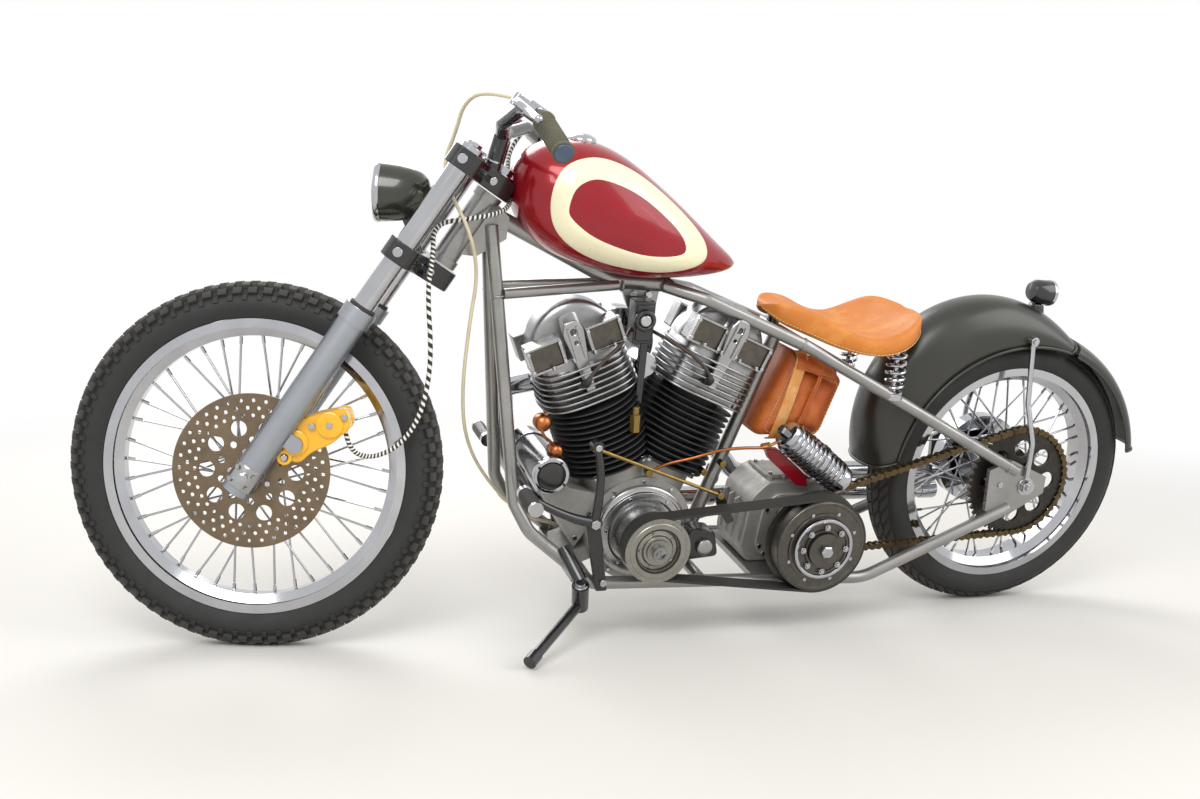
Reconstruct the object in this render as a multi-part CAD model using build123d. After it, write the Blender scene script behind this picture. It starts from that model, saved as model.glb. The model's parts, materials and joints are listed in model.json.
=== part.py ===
from build123d import *

import os
from math import atan2, cos, degrees, pi, radians, sin, sqrt, tan

# A rigid-framed chopper motorcycle, in millimetres. Every piece is drawn with the
# motorcycle upright and its steering straight: X forward, Y to the rider's left, Z up,
# the origin on the ground below the rear axle. The steering is then turned, and the
# whole machine leans to the left onto its side stand.

# How it stands
LEAN = 10.5  # to the left, degrees
STEER = -19.0  # turned to the right, degrees

# Wheels: an 18 inch rear and a 21 inch front
REAR_TYRE_RADIUS = 316.0
REAR_TYRE_HALF = 58.0
REAR_CROWN = 55.0  # radius of the tread's crown across the tyre
REAR_FLANGE_RADIUS = 247.0
REAR_RIM_HALF = 44.0
FRONT_TYRE_RADIUS = 348.0
FRONT_TYRE_HALF = 43.0
FRONT_CROWN = 42.0
FRONT_FLANGE_RADIUS = 281.0
FRONT_RIM_HALF = 31.0
FLANGE_HEIGHT = 13.0
RIM_WALL = 4.0
TYRE_WALL = 9.0
SPOKES = 40
SPOKE_RADIUS = 2.2
# By front wheel or not: radius and half distance of the hub's spoke flanges, and the
# angle between a spoke's two ends
HUB_FLANGE = {True: (46.0, 34.0), False: (66.0, 40.0)}
SPOKE_SWEEP = {True: 0.62, False: 0.75}
RUNNING_FIT = 0.05  # radial clearance of the hubs on their axles and of the stem
PLAY = 0.3  # between soft or curved pieces that lie against each other

# Steering
RAKE = 32.0
AXIS_GROUND_X = 1773.8  # where the steering axis meets the ground
FORK_OFFSET = 64.0  # fork legs ahead of the steering axis
FORK_HALF = 100.0  # half the distance between the fork legs
HEAD_LOW, HEAD_HIGH = 890.0, 1049.0  # along the steering axis, from the ground
HEAD_RADIUS = 24.0
STEM_RADIUS = 12.7
BEARING_LOW, BEARING_HIGH = 3.0, 2.0  # the bearings' room between the head and the yokes
TREE_THICK = 38.0
CLAMP_RADIUS = 30.0
STANCHION_RADIUS = 20.5
SLIDER_RADIUS = 27.0
SLIDER_TOP = 745.0
SLIDER_COLLAR = 30.0  # length of the collar at the slider's top
SLIDER_COLLAR_RADIUS = 31.0
SLIDER_FOOT = 38.0  # below the front axle
AXLE_RADIUS = 9.5
AXLE_STUB_RADIUS = 8.0  # the ends that stand out of the fork legs and the frame's plates
FRONT_AXLE_HALF = 142.0
DISC_RADIUS = 145.0
DISC_PLANE = 62.0
DISC_THICK = 5.0
DISC_WINDOWS = 10
CALIPER_GAP = 5.5  # each side of the disc

# Frame
TUBE_RADIUS = 13.0
BACKBONE_RADIUS = 16.0
RAIL_HALF = 130.0
PLATE_INNER, PLATE_OUTER = 112.0, 123.0
REAR_AXLE_HALF = 140.0

# Engine: a 45 degree V-twin
CRANK = (878.0, 230.0)
BANK = 22.5
CASE_RADIUS = 112.0
CASE_HALF = 75.0
DECK, GASKET, HEAD_TOP = 140.0, 300.0, 392.0  # along a cylinder, from the crank
BARREL_FINS, BARREL_FIN_RADIUS, BARREL_CORE = 11, 97.0, 60.0
HEAD_FINS, HEAD_FIN_LONG, HEAD_FIN_WIDE = 6, 204.0, 188.0
HEAD_FIN_SIDES = 24
FIN_THICK = 4.0
ROCKER_HEIGHT = 105.0
GENERATOR = (1084.0, 362.0)
GENERATOR_RADIUS = 36.0

# Primary drive, gearbox and chain
CLUTCH = (520.0, 224.0)
BELT_PLANE, BELT_WIDTH, BELT_THICK = 168.0, 36.0, 5.0
FRONT_PULLEY_RADIUS, CLUTCH_PULLEY_RADIUS = 60.0, 99.0
PULLEY_HALF = 21.0
CHAIN_PLANE, CHAIN_WIDTH = 88.0, 18.0
CHAIN_PITCH = 15.875
REAR_TEETH, FRONT_TEETH = 48, 23
CHAIN_INSIDE, CHAIN_OUTSIDE = 4.0, 7.5  # the side plates, from the pitch line
CHAIN_WAIST = 3.5  # how much a side plate narrows between its pins
SPROCKET_THICK = 7.0
SPROCKET_WINDOWS = 8
TOOTH = 5.0  # depth of the rear sprocket's teeth
GEARBOX_HALF = 70.0

# Tank, seat and fender
FENDER_FORE, FENDER_RISE = 88.0, 117.0  # the fender's centre from the rear axle
FENDER_TUCK = 34.0  # the fender's radius is this much less than the tyre's
FENDER_HALF = 77.0
FENDER_WALL = 4.0
TAIL_GAP = 20.0  # the tail fender's outside from the tyre's tread
TAIL_HALF = 72.0
SADDLE_DROP = 110.0  # the saddle's lowest edge below the fender's top

# Values worked out from the driving sizes
LEAN_COS = cos(radians(LEAN))
REAR_AXLE = (0.0, REAR_TYRE_RADIUS - REAR_CROWN + REAR_CROWN / LEAN_COS)
FENDER_CENTRE = (FENDER_FORE, REAR_AXLE[1] + FENDER_RISE)
FENDER_RADIUS = REAR_TYRE_RADIUS - FENDER_TUCK
TAIL_RADIUS = REAR_TYRE_RADIUS + TAIL_GAP
SADDLE_LOW = FENDER_CENTRE[1] + FENDER_RADIUS - SADDLE_DROP
LOWER_TREE = HEAD_LOW - BEARING_LOW - TREE_THICK / 2
UPPER_TREE = HEAD_HIGH + BEARING_HIGH + TREE_THICK / 2
STEER_DIR = Vector(-sin(radians(RAKE)), 0, cos(radians(RAKE)))
STEER_FORE = Vector(cos(radians(RAKE)), 0, sin(radians(RAKE)))
STEER_FOOT = Vector(AXIS_GROUND_X, 0, 0)
STEER_AXIS = Axis(STEER_FOOT, STEER_DIR)
LEFT = Vector(0, 1, 0)
REAR_PITCH = CHAIN_PITCH / (2 * sin(pi / REAR_TEETH))
FRONT_PITCH = CHAIN_PITCH / (2 * sin(pi / FRONT_TEETH))


def lean(shape):
    """The upright machine tips to its left about the line through its wheels."""
    return shape.rotate(Axis.X, -LEAN)


def lean_vector(v):
    return v.rotate(Axis.X, -LEAN)


def front_axle_place():
    """Distance of the front axle along the steering axis, so that the tyre of the
    turned and leaning wheel just touches the ground."""
    turned_axle = lean_vector(LEFT.rotate(STEER_AXIS, STEER))
    slope = sqrt(1 - turned_axle.Z**2)
    needed = (FRONT_TYRE_RADIUS - FRONT_CROWN) * slope + FRONT_CROWN
    turned_fore = lean_vector(STEER_FORE.rotate(STEER_AXIS, STEER))
    along = lean_vector(STEER_DIR).Z
    start = lean_vector(STEER_FOOT).Z + FORK_OFFSET * turned_fore.Z
    return (needed - start) / along


AXLE_ALONG = front_axle_place()


def steer_point(along, fore=0.0, left=0.0):
    """A point by its distance up the steering axis, ahead of it and to the left."""
    return STEER_FOOT + STEER_DIR * along + STEER_FORE * fore + LEFT * left


FRONT_AXLE = steer_point(AXLE_ALONG, FORK_OFFSET)


def head_point(share, fore, left=0.0):
    """A point beside the steering head, by its share of the head's length."""
    spot = steer_point(HEAD_LOW + share * (HEAD_HIGH - HEAD_LOW), fore, left)
    return (spot.X, spot.Y, spot.Z)


def between(first, second, share):
    return tuple(a + (b - a) * share for a, b in zip(first, second))


def rod(start, end, radius):
    start, end = Vector(*start), Vector(*end)
    plane = Plane(origin=start, z_dir=end - start)
    align = (Align.CENTER, Align.CENTER, Align.MIN)
    return plane * Cylinder(radius, (end - start).length, align=align)


def tube(points, radius, bends):
    """A round tube along straight runs joined by tangent arcs."""
    path = FilletPolyline(*[Vector(*p) for p in points], radius=bends)
    start = Plane(origin=path @ 0, z_dir=path % 0)
    return sweep(start * Circle(radius), path=path)


def plate(outline, low, high):
    """A flat plate with this outline in X and Z, from low to high across."""
    face = make_face(Polyline(*outline, close=True))
    return Pos(0, high, 0) * (Rot(X=90) * extrude(face, high - low))


def disc(centre, radius, low, high):
    """A round disc about a crosswise axis."""
    return rod((centre[0], low, centre[1]), (centre[0], high, centre[1]), radius)


def across(profile, centre):
    """A ring about a crosswise axis, from a profile of radius and distance left."""
    face = make_face(Polyline(*profile, close=True))
    turned = revolve(Plane(origin=(0, 0, 0), x_dir=(1, 0, 0), z_dir=(0, 0, 1)) * face, Axis.Y)
    return Pos(centre[0], 0, centre[1]) * turned


def mirrored(shape):
    return mirror(shape, about=Plane.XZ)


def both(shape):
    """A left piece and its mirror image on the right."""
    return [shape, mirrored(shape)]


def minus(shape, *others):
    for other in others:
        shape = shape - other
    return shape


def largest(shape):
    """The one solid that is left once a cut has trimmed a piece."""
    return max(shape.solids(), key=lambda solid: solid.volume)


def wheel_centre(front):
    return (FRONT_AXLE.X, FRONT_AXLE.Z) if front else REAR_AXLE


# Columns: tyre radius, half width, flange radius, rim half width
WHEEL_SIZES = {
    True: (FRONT_TYRE_RADIUS, FRONT_TYRE_HALF, FRONT_FLANGE_RADIUS, FRONT_RIM_HALF),
    False: (REAR_TYRE_RADIUS, REAR_TYRE_HALF, REAR_FLANGE_RADIUS, REAR_RIM_HALF),
}


def tyre(front):
    """A tyre, open towards its rim: tread, sidewalls and beads."""
    radius, half, flange, rim = WHEEL_SIZES[front]
    crown = FRONT_CROWN if front else REAR_CROWN
    seat = flange - FLANGE_HEIGHT
    bead = rim - RIM_WALL
    tread = [(radius - crown + crown * cos(a), crown * sin(a)) for a in (0.0, 0.35, 0.72)]
    side = [
        (0.5 * (radius + flange), half),
        (flange + 1.0, rim + 1.0),
        (flange + 1.0, bead - PLAY),
        (seat + PLAY, bead - PLAY),
    ]
    inner = [
        (seat + PLAY, bead - TYRE_WALL),
        (flange + 6.0, half - 8.0 - TYRE_WALL),
        (radius - TYRE_WALL - 6.0, 0.55 * half),
    ]
    right_half = [(r, -y) for r, y in reversed(tread[1:] + side)]
    right_inner = [(r, -y) for r, y in inner]
    ring = tread + side + inner + list(reversed(right_inner)) + right_half
    return across(ring, wheel_centre(front))


def rim(front):
    """A drop-centre rim: two flanges, two bead seats and the well between."""
    _, _, flange, half = WHEEL_SIZES[front]
    seat = flange - FLANGE_HEIGHT
    well = seat - 16.0
    outer = [
        (flange, half),
        (flange, half - RIM_WALL),
        (seat, half - RIM_WALL),
        (seat, 0.62 * half),
        (well, 0.35 * half),
    ]
    inner = [
        (well - RIM_WALL, 0.42 * half),
        (seat - RIM_WALL, 0.7 * half),
        (seat - RIM_WALL, half),
    ]
    ring = outer + [(r, -y) for r, y in reversed(outer)]
    ring += [(r, -y) for r, y in reversed(inner)] + inner
    return across(ring, wheel_centre(front))


def spokes(front):
    """Laced wire spokes from the hub's two flanges to the rim's well."""
    _, _, flange, half = WHEEL_SIZES[front]
    well = flange - FLANGE_HEIGHT - 16.9 - RIM_WALL
    hub_radius, hub_half = HUB_FLANGE[front]
    centre = wheel_centre(front)
    made = []
    step = 2 * pi / SPOKES
    for k in range(SPOKES):
        side = 1 if k % 2 else -1
        lean_back = 1 if (k // 2) % 2 else -1
        rim_angle = k * step
        hub_angle = rim_angle + lean_back * SPOKE_SWEEP[front]
        foot = hub_radius + SPOKE_RADIUS
        start = (
            centre[0] + foot * cos(hub_angle),
            side * (hub_half - 4.0),
            centre[1] + foot * sin(hub_angle),
        )
        end = (
            centre[0] + well * cos(rim_angle),
            side * 0.12 * half,
            centre[1] + well * sin(rim_angle),
        )
        made.append(rod(start, end, SPOKE_RADIUS))
    return made


def hub(front):
    """A hub with two spoke flanges, its bore running on the axle."""
    radius, half = HUB_FLANGE[front]
    bore = AXLE_RADIUS + RUNNING_FIT
    barrel = 0.6 * radius
    end = DISC_PLANE - DISC_THICK / 2 if front else CHAIN_PLANE - SPROCKET_THICK / 2
    ring = [
        (bore, end),
        (barrel, end),
        (barrel, half),
        (radius, half),
        (radius, half - 8.0),
        (barrel * 0.8, half - 14.0),
        (barrel * 0.8, 14.0 - half),
        (radius, 8.0 - half),
        (radius, -half),
        (barrel, -half),
        (barrel, -half - 20.0),
        (bore, -half - 20.0),
    ]
    return across(ring, wheel_centre(front))


def brake_disc():
    """The front disc: a drilled ring on a carrier with round windows."""
    low, high = DISC_PLANE - DISC_THICK / 2, DISC_PLANE + DISC_THICK / 2
    centre = wheel_centre(True)
    ring = disc(centre, DISC_RADIUS, low, high) - disc(centre, 24.0, low - 1, high + 1)
    for k in range(DISC_WINDOWS):
        a = 2 * pi * k / DISC_WINDOWS
        spot = (centre[0] + 82.0 * cos(a), centre[1] + 82.0 * sin(a))
        ring -= disc(spot, 15.0, low - 1, high + 1)
    return ring


def sprocket():
    """The rear chain wheel, its teeth just inside the chain's rollers."""
    low, high = CHAIN_PLANE - SPROCKET_THICK / 2, CHAIN_PLANE + SPROCKET_THICK / 2
    tip = REAR_PITCH - CHAIN_INSIDE - 1.5
    outline = []
    for k in range(REAR_TEETH):
        for share, radius in ((-0.30, tip - TOOTH), (-0.12, tip), (0.12, tip), (0.30, tip - TOOTH)):
            a = 2 * pi * (k + share) / REAR_TEETH
            outline.append((REAR_AXLE[0] + radius * cos(a), REAR_AXLE[1] + radius * sin(a)))
    ring = plate(outline, low, high)
    ring -= disc(REAR_AXLE, AXLE_RADIUS + RUNNING_FIT, low - 1, high + 1)
    for k in range(SPROCKET_WINDOWS):
        a = 2 * pi * k / SPROCKET_WINDOWS
        spot = (REAR_AXLE[0] + 76.0 * cos(a), REAR_AXLE[1] + 76.0 * sin(a))
        ring -= disc(spot, 20.0, low - 1, high + 1)
    return ring


def brake_drum():
    """The rear brake drum on the wheel's right side."""
    low, high = -HUB_FLANGE[False][1] - 50.0, -HUB_FLANGE[False][1] - 18.0
    drum = disc(REAR_AXLE, 104.0, low, high)
    return drum - disc(REAR_AXLE, AXLE_RADIUS + RUNNING_FIT, low - 1, high + 1)


def axle(centre, half, shoulder):
    """A shaft that ends in a narrower stub beyond its shoulder on each side."""
    thick = disc(centre, AXLE_RADIUS, -shoulder, shoulder)
    return thick + disc(centre, AXLE_STUB_RADIUS, -half, half)


# The frame
def steering_head():
    """The head tube, with the gusset block that carries the frame tubes."""
    tube_part = rod(steer_point(HEAD_LOW), steer_point(HEAD_HIGH), HEAD_RADIUS)
    for end in (HEAD_LOW, HEAD_HIGH - 16.0):
        tube_part += rod(steer_point(end), steer_point(end + 16.0), HEAD_RADIUS + 4)
    spots = [head_point(*row) for row in GUSSET]
    whole = tube_part + plate([(x, z) for x, _, z in spots], -17, 17)
    bore = rod(steer_point(HEAD_LOW - 9), steer_point(HEAD_HIGH + 9), STEM_RADIUS + RUNNING_FIT)
    return whole - bore


# Columns: share of the head's length, and ahead of the steering axis
GUSSET = [(0.15, 3), (0.81, 7), (0.95, -19), (0.90, -54), (0.67, -73), (0.30, -44)]
BACKBONE_PATH = [head_point(0.805, -14), (960, 0, 730), (842, 0, 724)]
DOWNTUBE_PATH = [
    head_point(0.705, -34, 14), (1149, 82, 300), (1120, 104, 246), (1010, 127, 158),
]
RAIL_PATH = [
    DOWNTUBE_PATH[-1], (990, 131.18, 142), (375, 129, 122),
    (REAR_AXLE[0] + 36, 124, REAR_AXLE[1] - 49),
]
STAY_PATH = [
    (856, 16, 724), (776, 53, 706), (566, 98, SADDLE_LOW + 18),
    (REAR_AXLE[0] + 28, 118, REAR_AXLE[1] + 35),
]
STUD_PLACE = between(STAY_PATH[2], STAY_PATH[3], 0.494)
SPRING_PLACE = between(STAY_PATH[2], STAY_PATH[3], 0.39)
SEAT_POST = [(588, 0, SADDLE_LOW + 30), (752, 0, 150)]
REAR_CROSS = (756.0, 140.0)


def backbone(head):
    """The top tube under the tank, with the engine's upper mounting plate."""
    main = tube(BACKBONE_PATH, BACKBONE_RADIUS, [60])
    mount = [(944, 724), (860, 720), (872, 632), (896, 628), (930, 690)]
    core = rod(steer_point(HEAD_LOW), steer_point(HEAD_HIGH), HEAD_RADIUS)
    return minus(main + plate(mount, -5, 5), head, core)


def bottom_rail():
    return tube(RAIL_PATH, TUBE_RADIUS, [30, 120])


def stay(spine):
    return minus(tube(STAY_PATH, TUBE_RADIUS, [30, 90]), spine)


def axle_plate():
    spots = [(-50, -17), (-50, 21), (44, 61), (98, 39), (92, -55), (34, -67)]
    outline = [(REAR_AXLE[0] + x, REAR_AXLE[1] + z) for x, z in spots]
    left = plate(outline, PLATE_INNER, PLATE_OUTER)
    return left - disc(REAR_AXLE, AXLE_RADIUS + 0.1, PLATE_INNER - 1, PLATE_OUTER + 1)


def cross_members():
    """Tubes and plates between the rails, under the engine and gearbox."""
    reach = RAIL_HALF - 6
    pieces = [
        rod((REAR_CROSS[0], -reach, REAR_CROSS[1]), (REAR_CROSS[0], reach, REAR_CROSS[1]), 12),
        Pos(1010, 0, 150) * Box(40, 2 * reach, 14),
        Pos(540, 0, 133) * Box(190, 2 * reach, 12),
    ]
    clear = []
    for path in (DOWNTUBE_PATH, RAIL_PATH):
        for start, end in zip(path, path[1:]):
            clear += both(rod(start, end, TUBE_RADIUS + 0.1))
    return [largest(minus(p, *clear)) for p in pieces]


def tie_tube(spine, left_downtube):
    """A thin tube from the downtube back to the backbone."""
    front = Vector(*between(DOWNTUBE_PATH[0], DOWNTUBE_PATH[1], 0.237)) + Vector(-11.6, 8, 0)
    back = Vector(*BACKBONE_PATH[1]) + Vector(-8, 14, -7)
    left = rod(front, back, 10)
    return minus(left, spine, left_downtube)


# The engine
def bank_plane(sign, height):
    """A plane square to the front (+1) or rear (-1) cylinder, its X rearwards to
    forwards in the machine's middle plane, at this height above the crank."""
    tilt = radians(BANK) * sign
    up = Vector(sin(tilt), 0, cos(tilt))
    origin = Vector(CRANK[0], 0, CRANK[1]) + up * height
    return Plane(origin=origin, x_dir=(cos(tilt), 0, -sin(tilt)), z_dir=up)


UP = (Align.CENTER, Align.CENTER, Align.MIN)


def crankcase(cross):
    case = disc(CRANK, CASE_RADIUS, -CASE_HALF, CASE_HALF)
    case += disc(CRANK, 54, CASE_HALF, 142)
    case -= disc(CRANK, 16, 130, 143)
    for sign in (1, -1):
        deck = bank_plane(sign, 50) * Cylinder(74, DECK - 50, align=UP)
        case += deck
    cradle = [(940, 296), (1010, 190), (1090, 316), (1092, 336), (1052, 338), (1030, 318)]
    case += plate(cradle, -60, 60)
    case -= disc(GENERATOR, GENERATOR_RADIUS + PLAY, -130, 130)
    case += plate([(988, 157), (1030, 157), (1030, 174), (960, 200), (940, 175)], -60, 60)
    for side in (44, -44):
        case += plate([(752, 151), (800, 136), (800, 178), (760, 184)], side - 16, side + 16)
    return minus(case, *cross)


def barrel(sign, case):
    core = bank_plane(sign, DECK) * Cylinder(BARREL_CORE, GASKET - DECK, align=UP)
    pitch = (GASKET - DECK) / (BARREL_FINS + 0.5)
    for k in range(BARREL_FINS):
        height = DECK + pitch * (k + 0.8)
        face = RegularPolygon(BARREL_FIN_RADIUS, 20)
        core += bank_plane(sign, height) * extrude(face, FIN_THICK)
    other_side = Pos(CRANK[0] - sign * 99.6, 0, 400) * Box(200, 300, 600)
    return minus(core, other_side, case)


def squarish():
    """A square fin with full corners: x and y to the power of three add up to one."""
    rim = []
    for k in range(HEAD_FIN_SIDES):
        a = 2 * pi * (k + 0.5) / HEAD_FIN_SIDES
        reach = (abs(cos(a)) ** 3 + abs(sin(a)) ** 3) ** (-1 / 3)
        rim.append((HEAD_FIN_LONG / 2 * reach * cos(a), HEAD_FIN_WIDE / 2 * reach * sin(a)))
    return make_face(Polyline(*rim, close=True))


def head(sign):
    """A cylinder head: square fins below, the domed rocker box and two end blocks."""
    core = bank_plane(sign, GASKET) * Box(176, 140, HEAD_TOP - GASKET, align=UP)
    pitch = (HEAD_TOP - GASKET - 12) / HEAD_FINS
    for k in range(HEAD_FINS):
        core += bank_plane(sign, GASKET + pitch * k) * extrude(squarish(), FIN_THICK)
    arch = Plane(origin=(0, 0, 0), x_dir=(1, 0, 0), z_dir=(0, -1, 0)) * Ellipse(98, ROCKER_HEIGHT)
    dome = extrude(arch, 36, both=True)
    dome = split(dome, Plane.XY, keep=Keep.TOP)
    core += bank_plane(sign, HEAD_TOP) * dome
    for x in (-52, 52):
        core += bank_plane(sign, HEAD_TOP) * Pos(x, 57, 0) * Box(70, 42, 54, align=UP)
    return core


def generator():
    body = disc(GENERATOR, GENERATOR_RADIUS, -96, 96)
    return body + disc(GENERATOR, GENERATOR_RADIUS - 8, 96, 106)


def timing_cover():
    """The cam cover on the right side, with its four pushrod tubes."""
    low = -CASE_HALF - 42
    cover = disc(CRANK, 62, low, -CASE_HALF)
    cover += disc((960, 292), 46, low, -CASE_HALF)
    cover += disc((812, 292), 34, low, -CASE_HALF)
    cover += plate([(812, 326), (960, 338), (985, 292), (930, 200), (800, 270)], low, -CASE_HALF)
    for sign in (1, -1):
        for x in (10, 48):
            base = bank_plane(sign, 100).location.position
            side = bank_plane(sign, 0).x_dir * (-sign * x)
            up = bank_plane(sign, 0).z_dir
            start = base + side - LEFT * 106
            cover += rod(start - up * 20, start + up * (HEAD_TOP - 92), 9)
    return cover


def carburettor():
    """The manifold in the V, the carburettor and the round air cleaner."""
    body = rod((878, 14, 560), (878, -150, 560), 24)
    body += Pos(878, -128, 540) * Box(64, 56, 90)
    body += rod((878, -156, 560), (878, -196, 560), 78)
    return body


FRONT_PIPE = [
    (1080, -40, 515), (1136, -112, 478), (1120, -128, 330), (1030, -186, 196), (60, -186, 196),
]
REAR_PIPE = [
    (712, -60, 505), (664, -152, 494), (640, -166, 340), (560, -182, 250), (60, -182, 250),
]


def exhaust(heads):
    """Two straight-through pipes that run back along the right side."""
    front = tube(FRONT_PIPE, 21, [34, 60, 80])
    rear = tube(REAR_PIPE, 21, [34, 60, 60])
    return [largest(minus(pipe, *heads)) for pipe in (front, rear)]


# Primary drive and gearbox
def pulley(centre, radius, flange):
    low, high = BELT_PLANE - PULLEY_HALF, BELT_PLANE + PULLEY_HALF
    ring = [
        (20, low),
        (flange, low),
        (flange, low + 2.4),
        (radius, low + 2.6),
        (radius, high - 2.6),
        (flange if flange < 90 else radius - 3, high - 2.4),
        (flange if flange < 90 else radius - 3, high),
        (0.72 * radius, high),
        (0.66 * radius, high - 8),
        (20, high - 8),
    ]
    return across(ring, centre)


def front_pulley():
    whole = pulley(CRANK, FRONT_PULLEY_RADIUS, FRONT_PULLEY_RADIUS + 8)
    hub_part = disc(CRANK, 24, BELT_PLANE - PULLEY_HALF, BELT_PLANE + PULLEY_HALF + 4)
    shaft = disc(CRANK, 15.5, 131, BELT_PLANE)
    nut = disc(CRANK, 15, BELT_PLANE + PULLEY_HALF, BELT_PLANE + PULLEY_HALF + 16)
    return whole + hub_part + shaft + nut


def clutch_pulley():
    whole = pulley(CLUTCH, CLUTCH_PULLEY_RADIUS, CLUTCH_PULLEY_RADIUS + 9)
    hub_part = disc(CLUTCH, 26, BELT_PLANE - PULLEY_HALF, BELT_PLANE + PULLEY_HALF + 4)
    cover = disc(CLUTCH, 62, BELT_PLANE + PULLEY_HALF - 8, BELT_PLANE + PULLEY_HALF + 8)
    cap = disc(CLUTCH, 36, BELT_PLANE + PULLEY_HALF + 8, BELT_PLANE + PULLEY_HALF + 20)
    return whole + hub_part + cover + cap


def wrapped(first, second, low, high, plane_low, plane_high):
    """A band round two circles: from low to high outside their radii."""
    (c1, r1), (c2, r2) = first, second
    bands = []
    for extra in (high, low):
        face = make_hull_face(c1, r1 + extra, c2, r2 + extra)
        bands.append(Pos(0, plane_high, 0) * (Rot(X=90) * extrude(face, plane_high - plane_low)))
    return bands[0] - bands[1]


def make_hull_face(c1, r1, c2, r2):
    """The outline of a belt round two circles, as two arcs and two tangents."""
    dx, dz = c2[0] - c1[0], c2[1] - c1[1]
    gap = sqrt(dx * dx + dz * dz)
    heading = atan2(dz, dx)
    side = atan2(sqrt(gap * gap - (r1 - r2) ** 2), r1 - r2)

    def on(c, r, a):
        return (c[0] + r * cos(a), c[1] + r * sin(a))

    up, down = heading + side, heading - side
    a1, a2 = on(c1, r1, up), on(c2, r2, up)
    b1, b2 = on(c1, r1, down), on(c2, r2, down)
    edges = [
        Line(a1, a2),
        ThreePointArc(a2, on(c2, r2, heading), b2),
        Line(b2, b1),
        ThreePointArc(b1, on(c1, r1, heading + pi), a1),
    ]
    return make_face(edges)


def primary_belt():
    low, high = BELT_PLANE - BELT_WIDTH / 2, BELT_PLANE + BELT_WIDTH / 2
    return wrapped(
        (CRANK, FRONT_PULLEY_RADIUS), (CLUTCH, CLUTCH_PULLEY_RADIUS), 0.1, BELT_THICK, low, high
    )


def drive_chain():
    """The drive chain, its side plates full at each pin and narrow between two pins."""
    low, high = CHAIN_PLANE - CHAIN_WIDTH / 2, CHAIN_PLANE + CHAIN_WIDTH / 2
    line = make_hull_face(CLUTCH, FRONT_PITCH, REAR_AXLE, REAR_PITCH).face().outer_wire()
    links = 2 * round(line.length / CHAIN_PITCH / 2)
    stations = [(k + share) / links for k in range(links) for share in (0.0, 0.3, 0.7)]
    spots = [(line.position_at(at), line.tangent_at(at)) for at in stations]
    ahead = spots[1][0] - spots[0][0]
    middle = Vector((CLUTCH[0] + REAR_AXLE[0]) / 2, (CLUTCH[1] + REAR_AXLE[1]) / 2)
    turn = 1 if ahead.cross(spots[0][0] - middle).Z < 0 else -1
    bands = []
    for full, waist in ((CHAIN_OUTSIDE, CHAIN_WAIST), (-CHAIN_INSIDE, 0.0)):
        rim = []
        for k, (spot, along) in enumerate(spots):
            reach = turn * (full if k % 3 else full - waist)
            rim.append((spot.X + along.Y * reach, spot.Y - along.X * reach))
        bands.append(plate(rim, low, high))
    return bands[0] - bands[1]


def gearbox():
    """The gearbox, its output sprocket and the shaft to the clutch."""
    outline = [
        (425, 160), (430, 139), (630, 139), (640, 170), (628, 290), (590, 322), (450, 322), (425, 280),
    ]
    case = plate(outline, -GEARBOX_HALF, GEARBOX_HALF)
    case += disc(CLUTCH, 34, GEARBOX_HALF, CHAIN_PLANE - SPROCKET_THICK / 2)
    low, high = CHAIN_PLANE - SPROCKET_THICK / 2, CHAIN_PLANE + SPROCKET_THICK / 2
    case += disc(CLUTCH, FRONT_PITCH - CHAIN_INSIDE - 0.5, low, high)
    case += disc(CLUTCH, 19, CHAIN_PLANE, BELT_PLANE - PULLEY_HALF)
    return case


def kick_starter():
    """The starter cover and its lever, on the gearbox's right side."""
    cover = disc((500, 240), 66, -GEARBOX_HALF - 34, -GEARBOX_HALF)
    cover += rod((500, -104, 240), (500, -132, 240), 14)
    cover += rod((500, -124, 240), (408, -150, 402), 9)
    cover += rod((408, -145, 402), (408, -225, 402), 13)
    return cover


def oil_filter():
    """A finned filter canister with the strap that holds it on the gearbox."""
    start, end = (592, 106, 444), (448, 106, 334)
    body = rod(start, end, 30)
    axis = Vector(*end) - Vector(*start)
    step = axis / 9
    for k in range(9):
        a = Vector(*start) + step * (k + 0.2)
        body += rod(a, a + step * 0.45, 35.5)
    strap = plate([(500, 322.2), (545, 322.2), (560, 400), (516, 372)], 56, 84)
    return body + strap


# Tank, seat, bag and fender
def section(x, low, high, half, corner):
    """An upright cross section of the tank or the seat, as a rounded rectangle."""
    face = RectangleRounded(2 * half, high - low, corner)
    plane = Plane(origin=(x, 0, (low + high) / 2), x_dir=(0, 1, 0), z_dir=(1, 0, 0))
    return plane * face


# Columns: place along X, lowest, highest, half width, corner radius; the saddle's
# heights are from its lowest edge
TANK_SECTIONS = [
    (1163, 866, 936, 44, 30),
    (1136, 812, 976, 96, 66),
    (1040, 762, 996, 124, 88),
    (900, 742, 930, 116, 74),
    (790, 744, 850, 74, 42),
    (712, 756, 778, 16, 9),
]
SEAT_SECTIONS = [
    (664, 70, 96, 34, 11),
    (560, 36, 98, 76, 28),
    (440, 0, 94, 132, 40),
    (360, 0, 104, 140, 44),
    (300, 42, 88, 96, 20),
]


def tank(spine, ties):
    body = loft([section(*row) for row in TANK_SECTIONS])
    tunnel = tube(BACKBONE_PATH, BACKBONE_RADIUS + PLAY, [60])
    front = (BACKBONE_PATH[0][0] + 38, BACKBONE_PATH[0][2] + 16)
    slot = plate([front, (960, 730), (700, 718), (700, 600), (front[0], 600)], -20, 20)
    return minus(body, tunnel, slot)


def fuel_cap(tank_part):
    return minus(rod((1050, 0, 970), (1050, 0, 1008), 26), tank_part)


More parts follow.
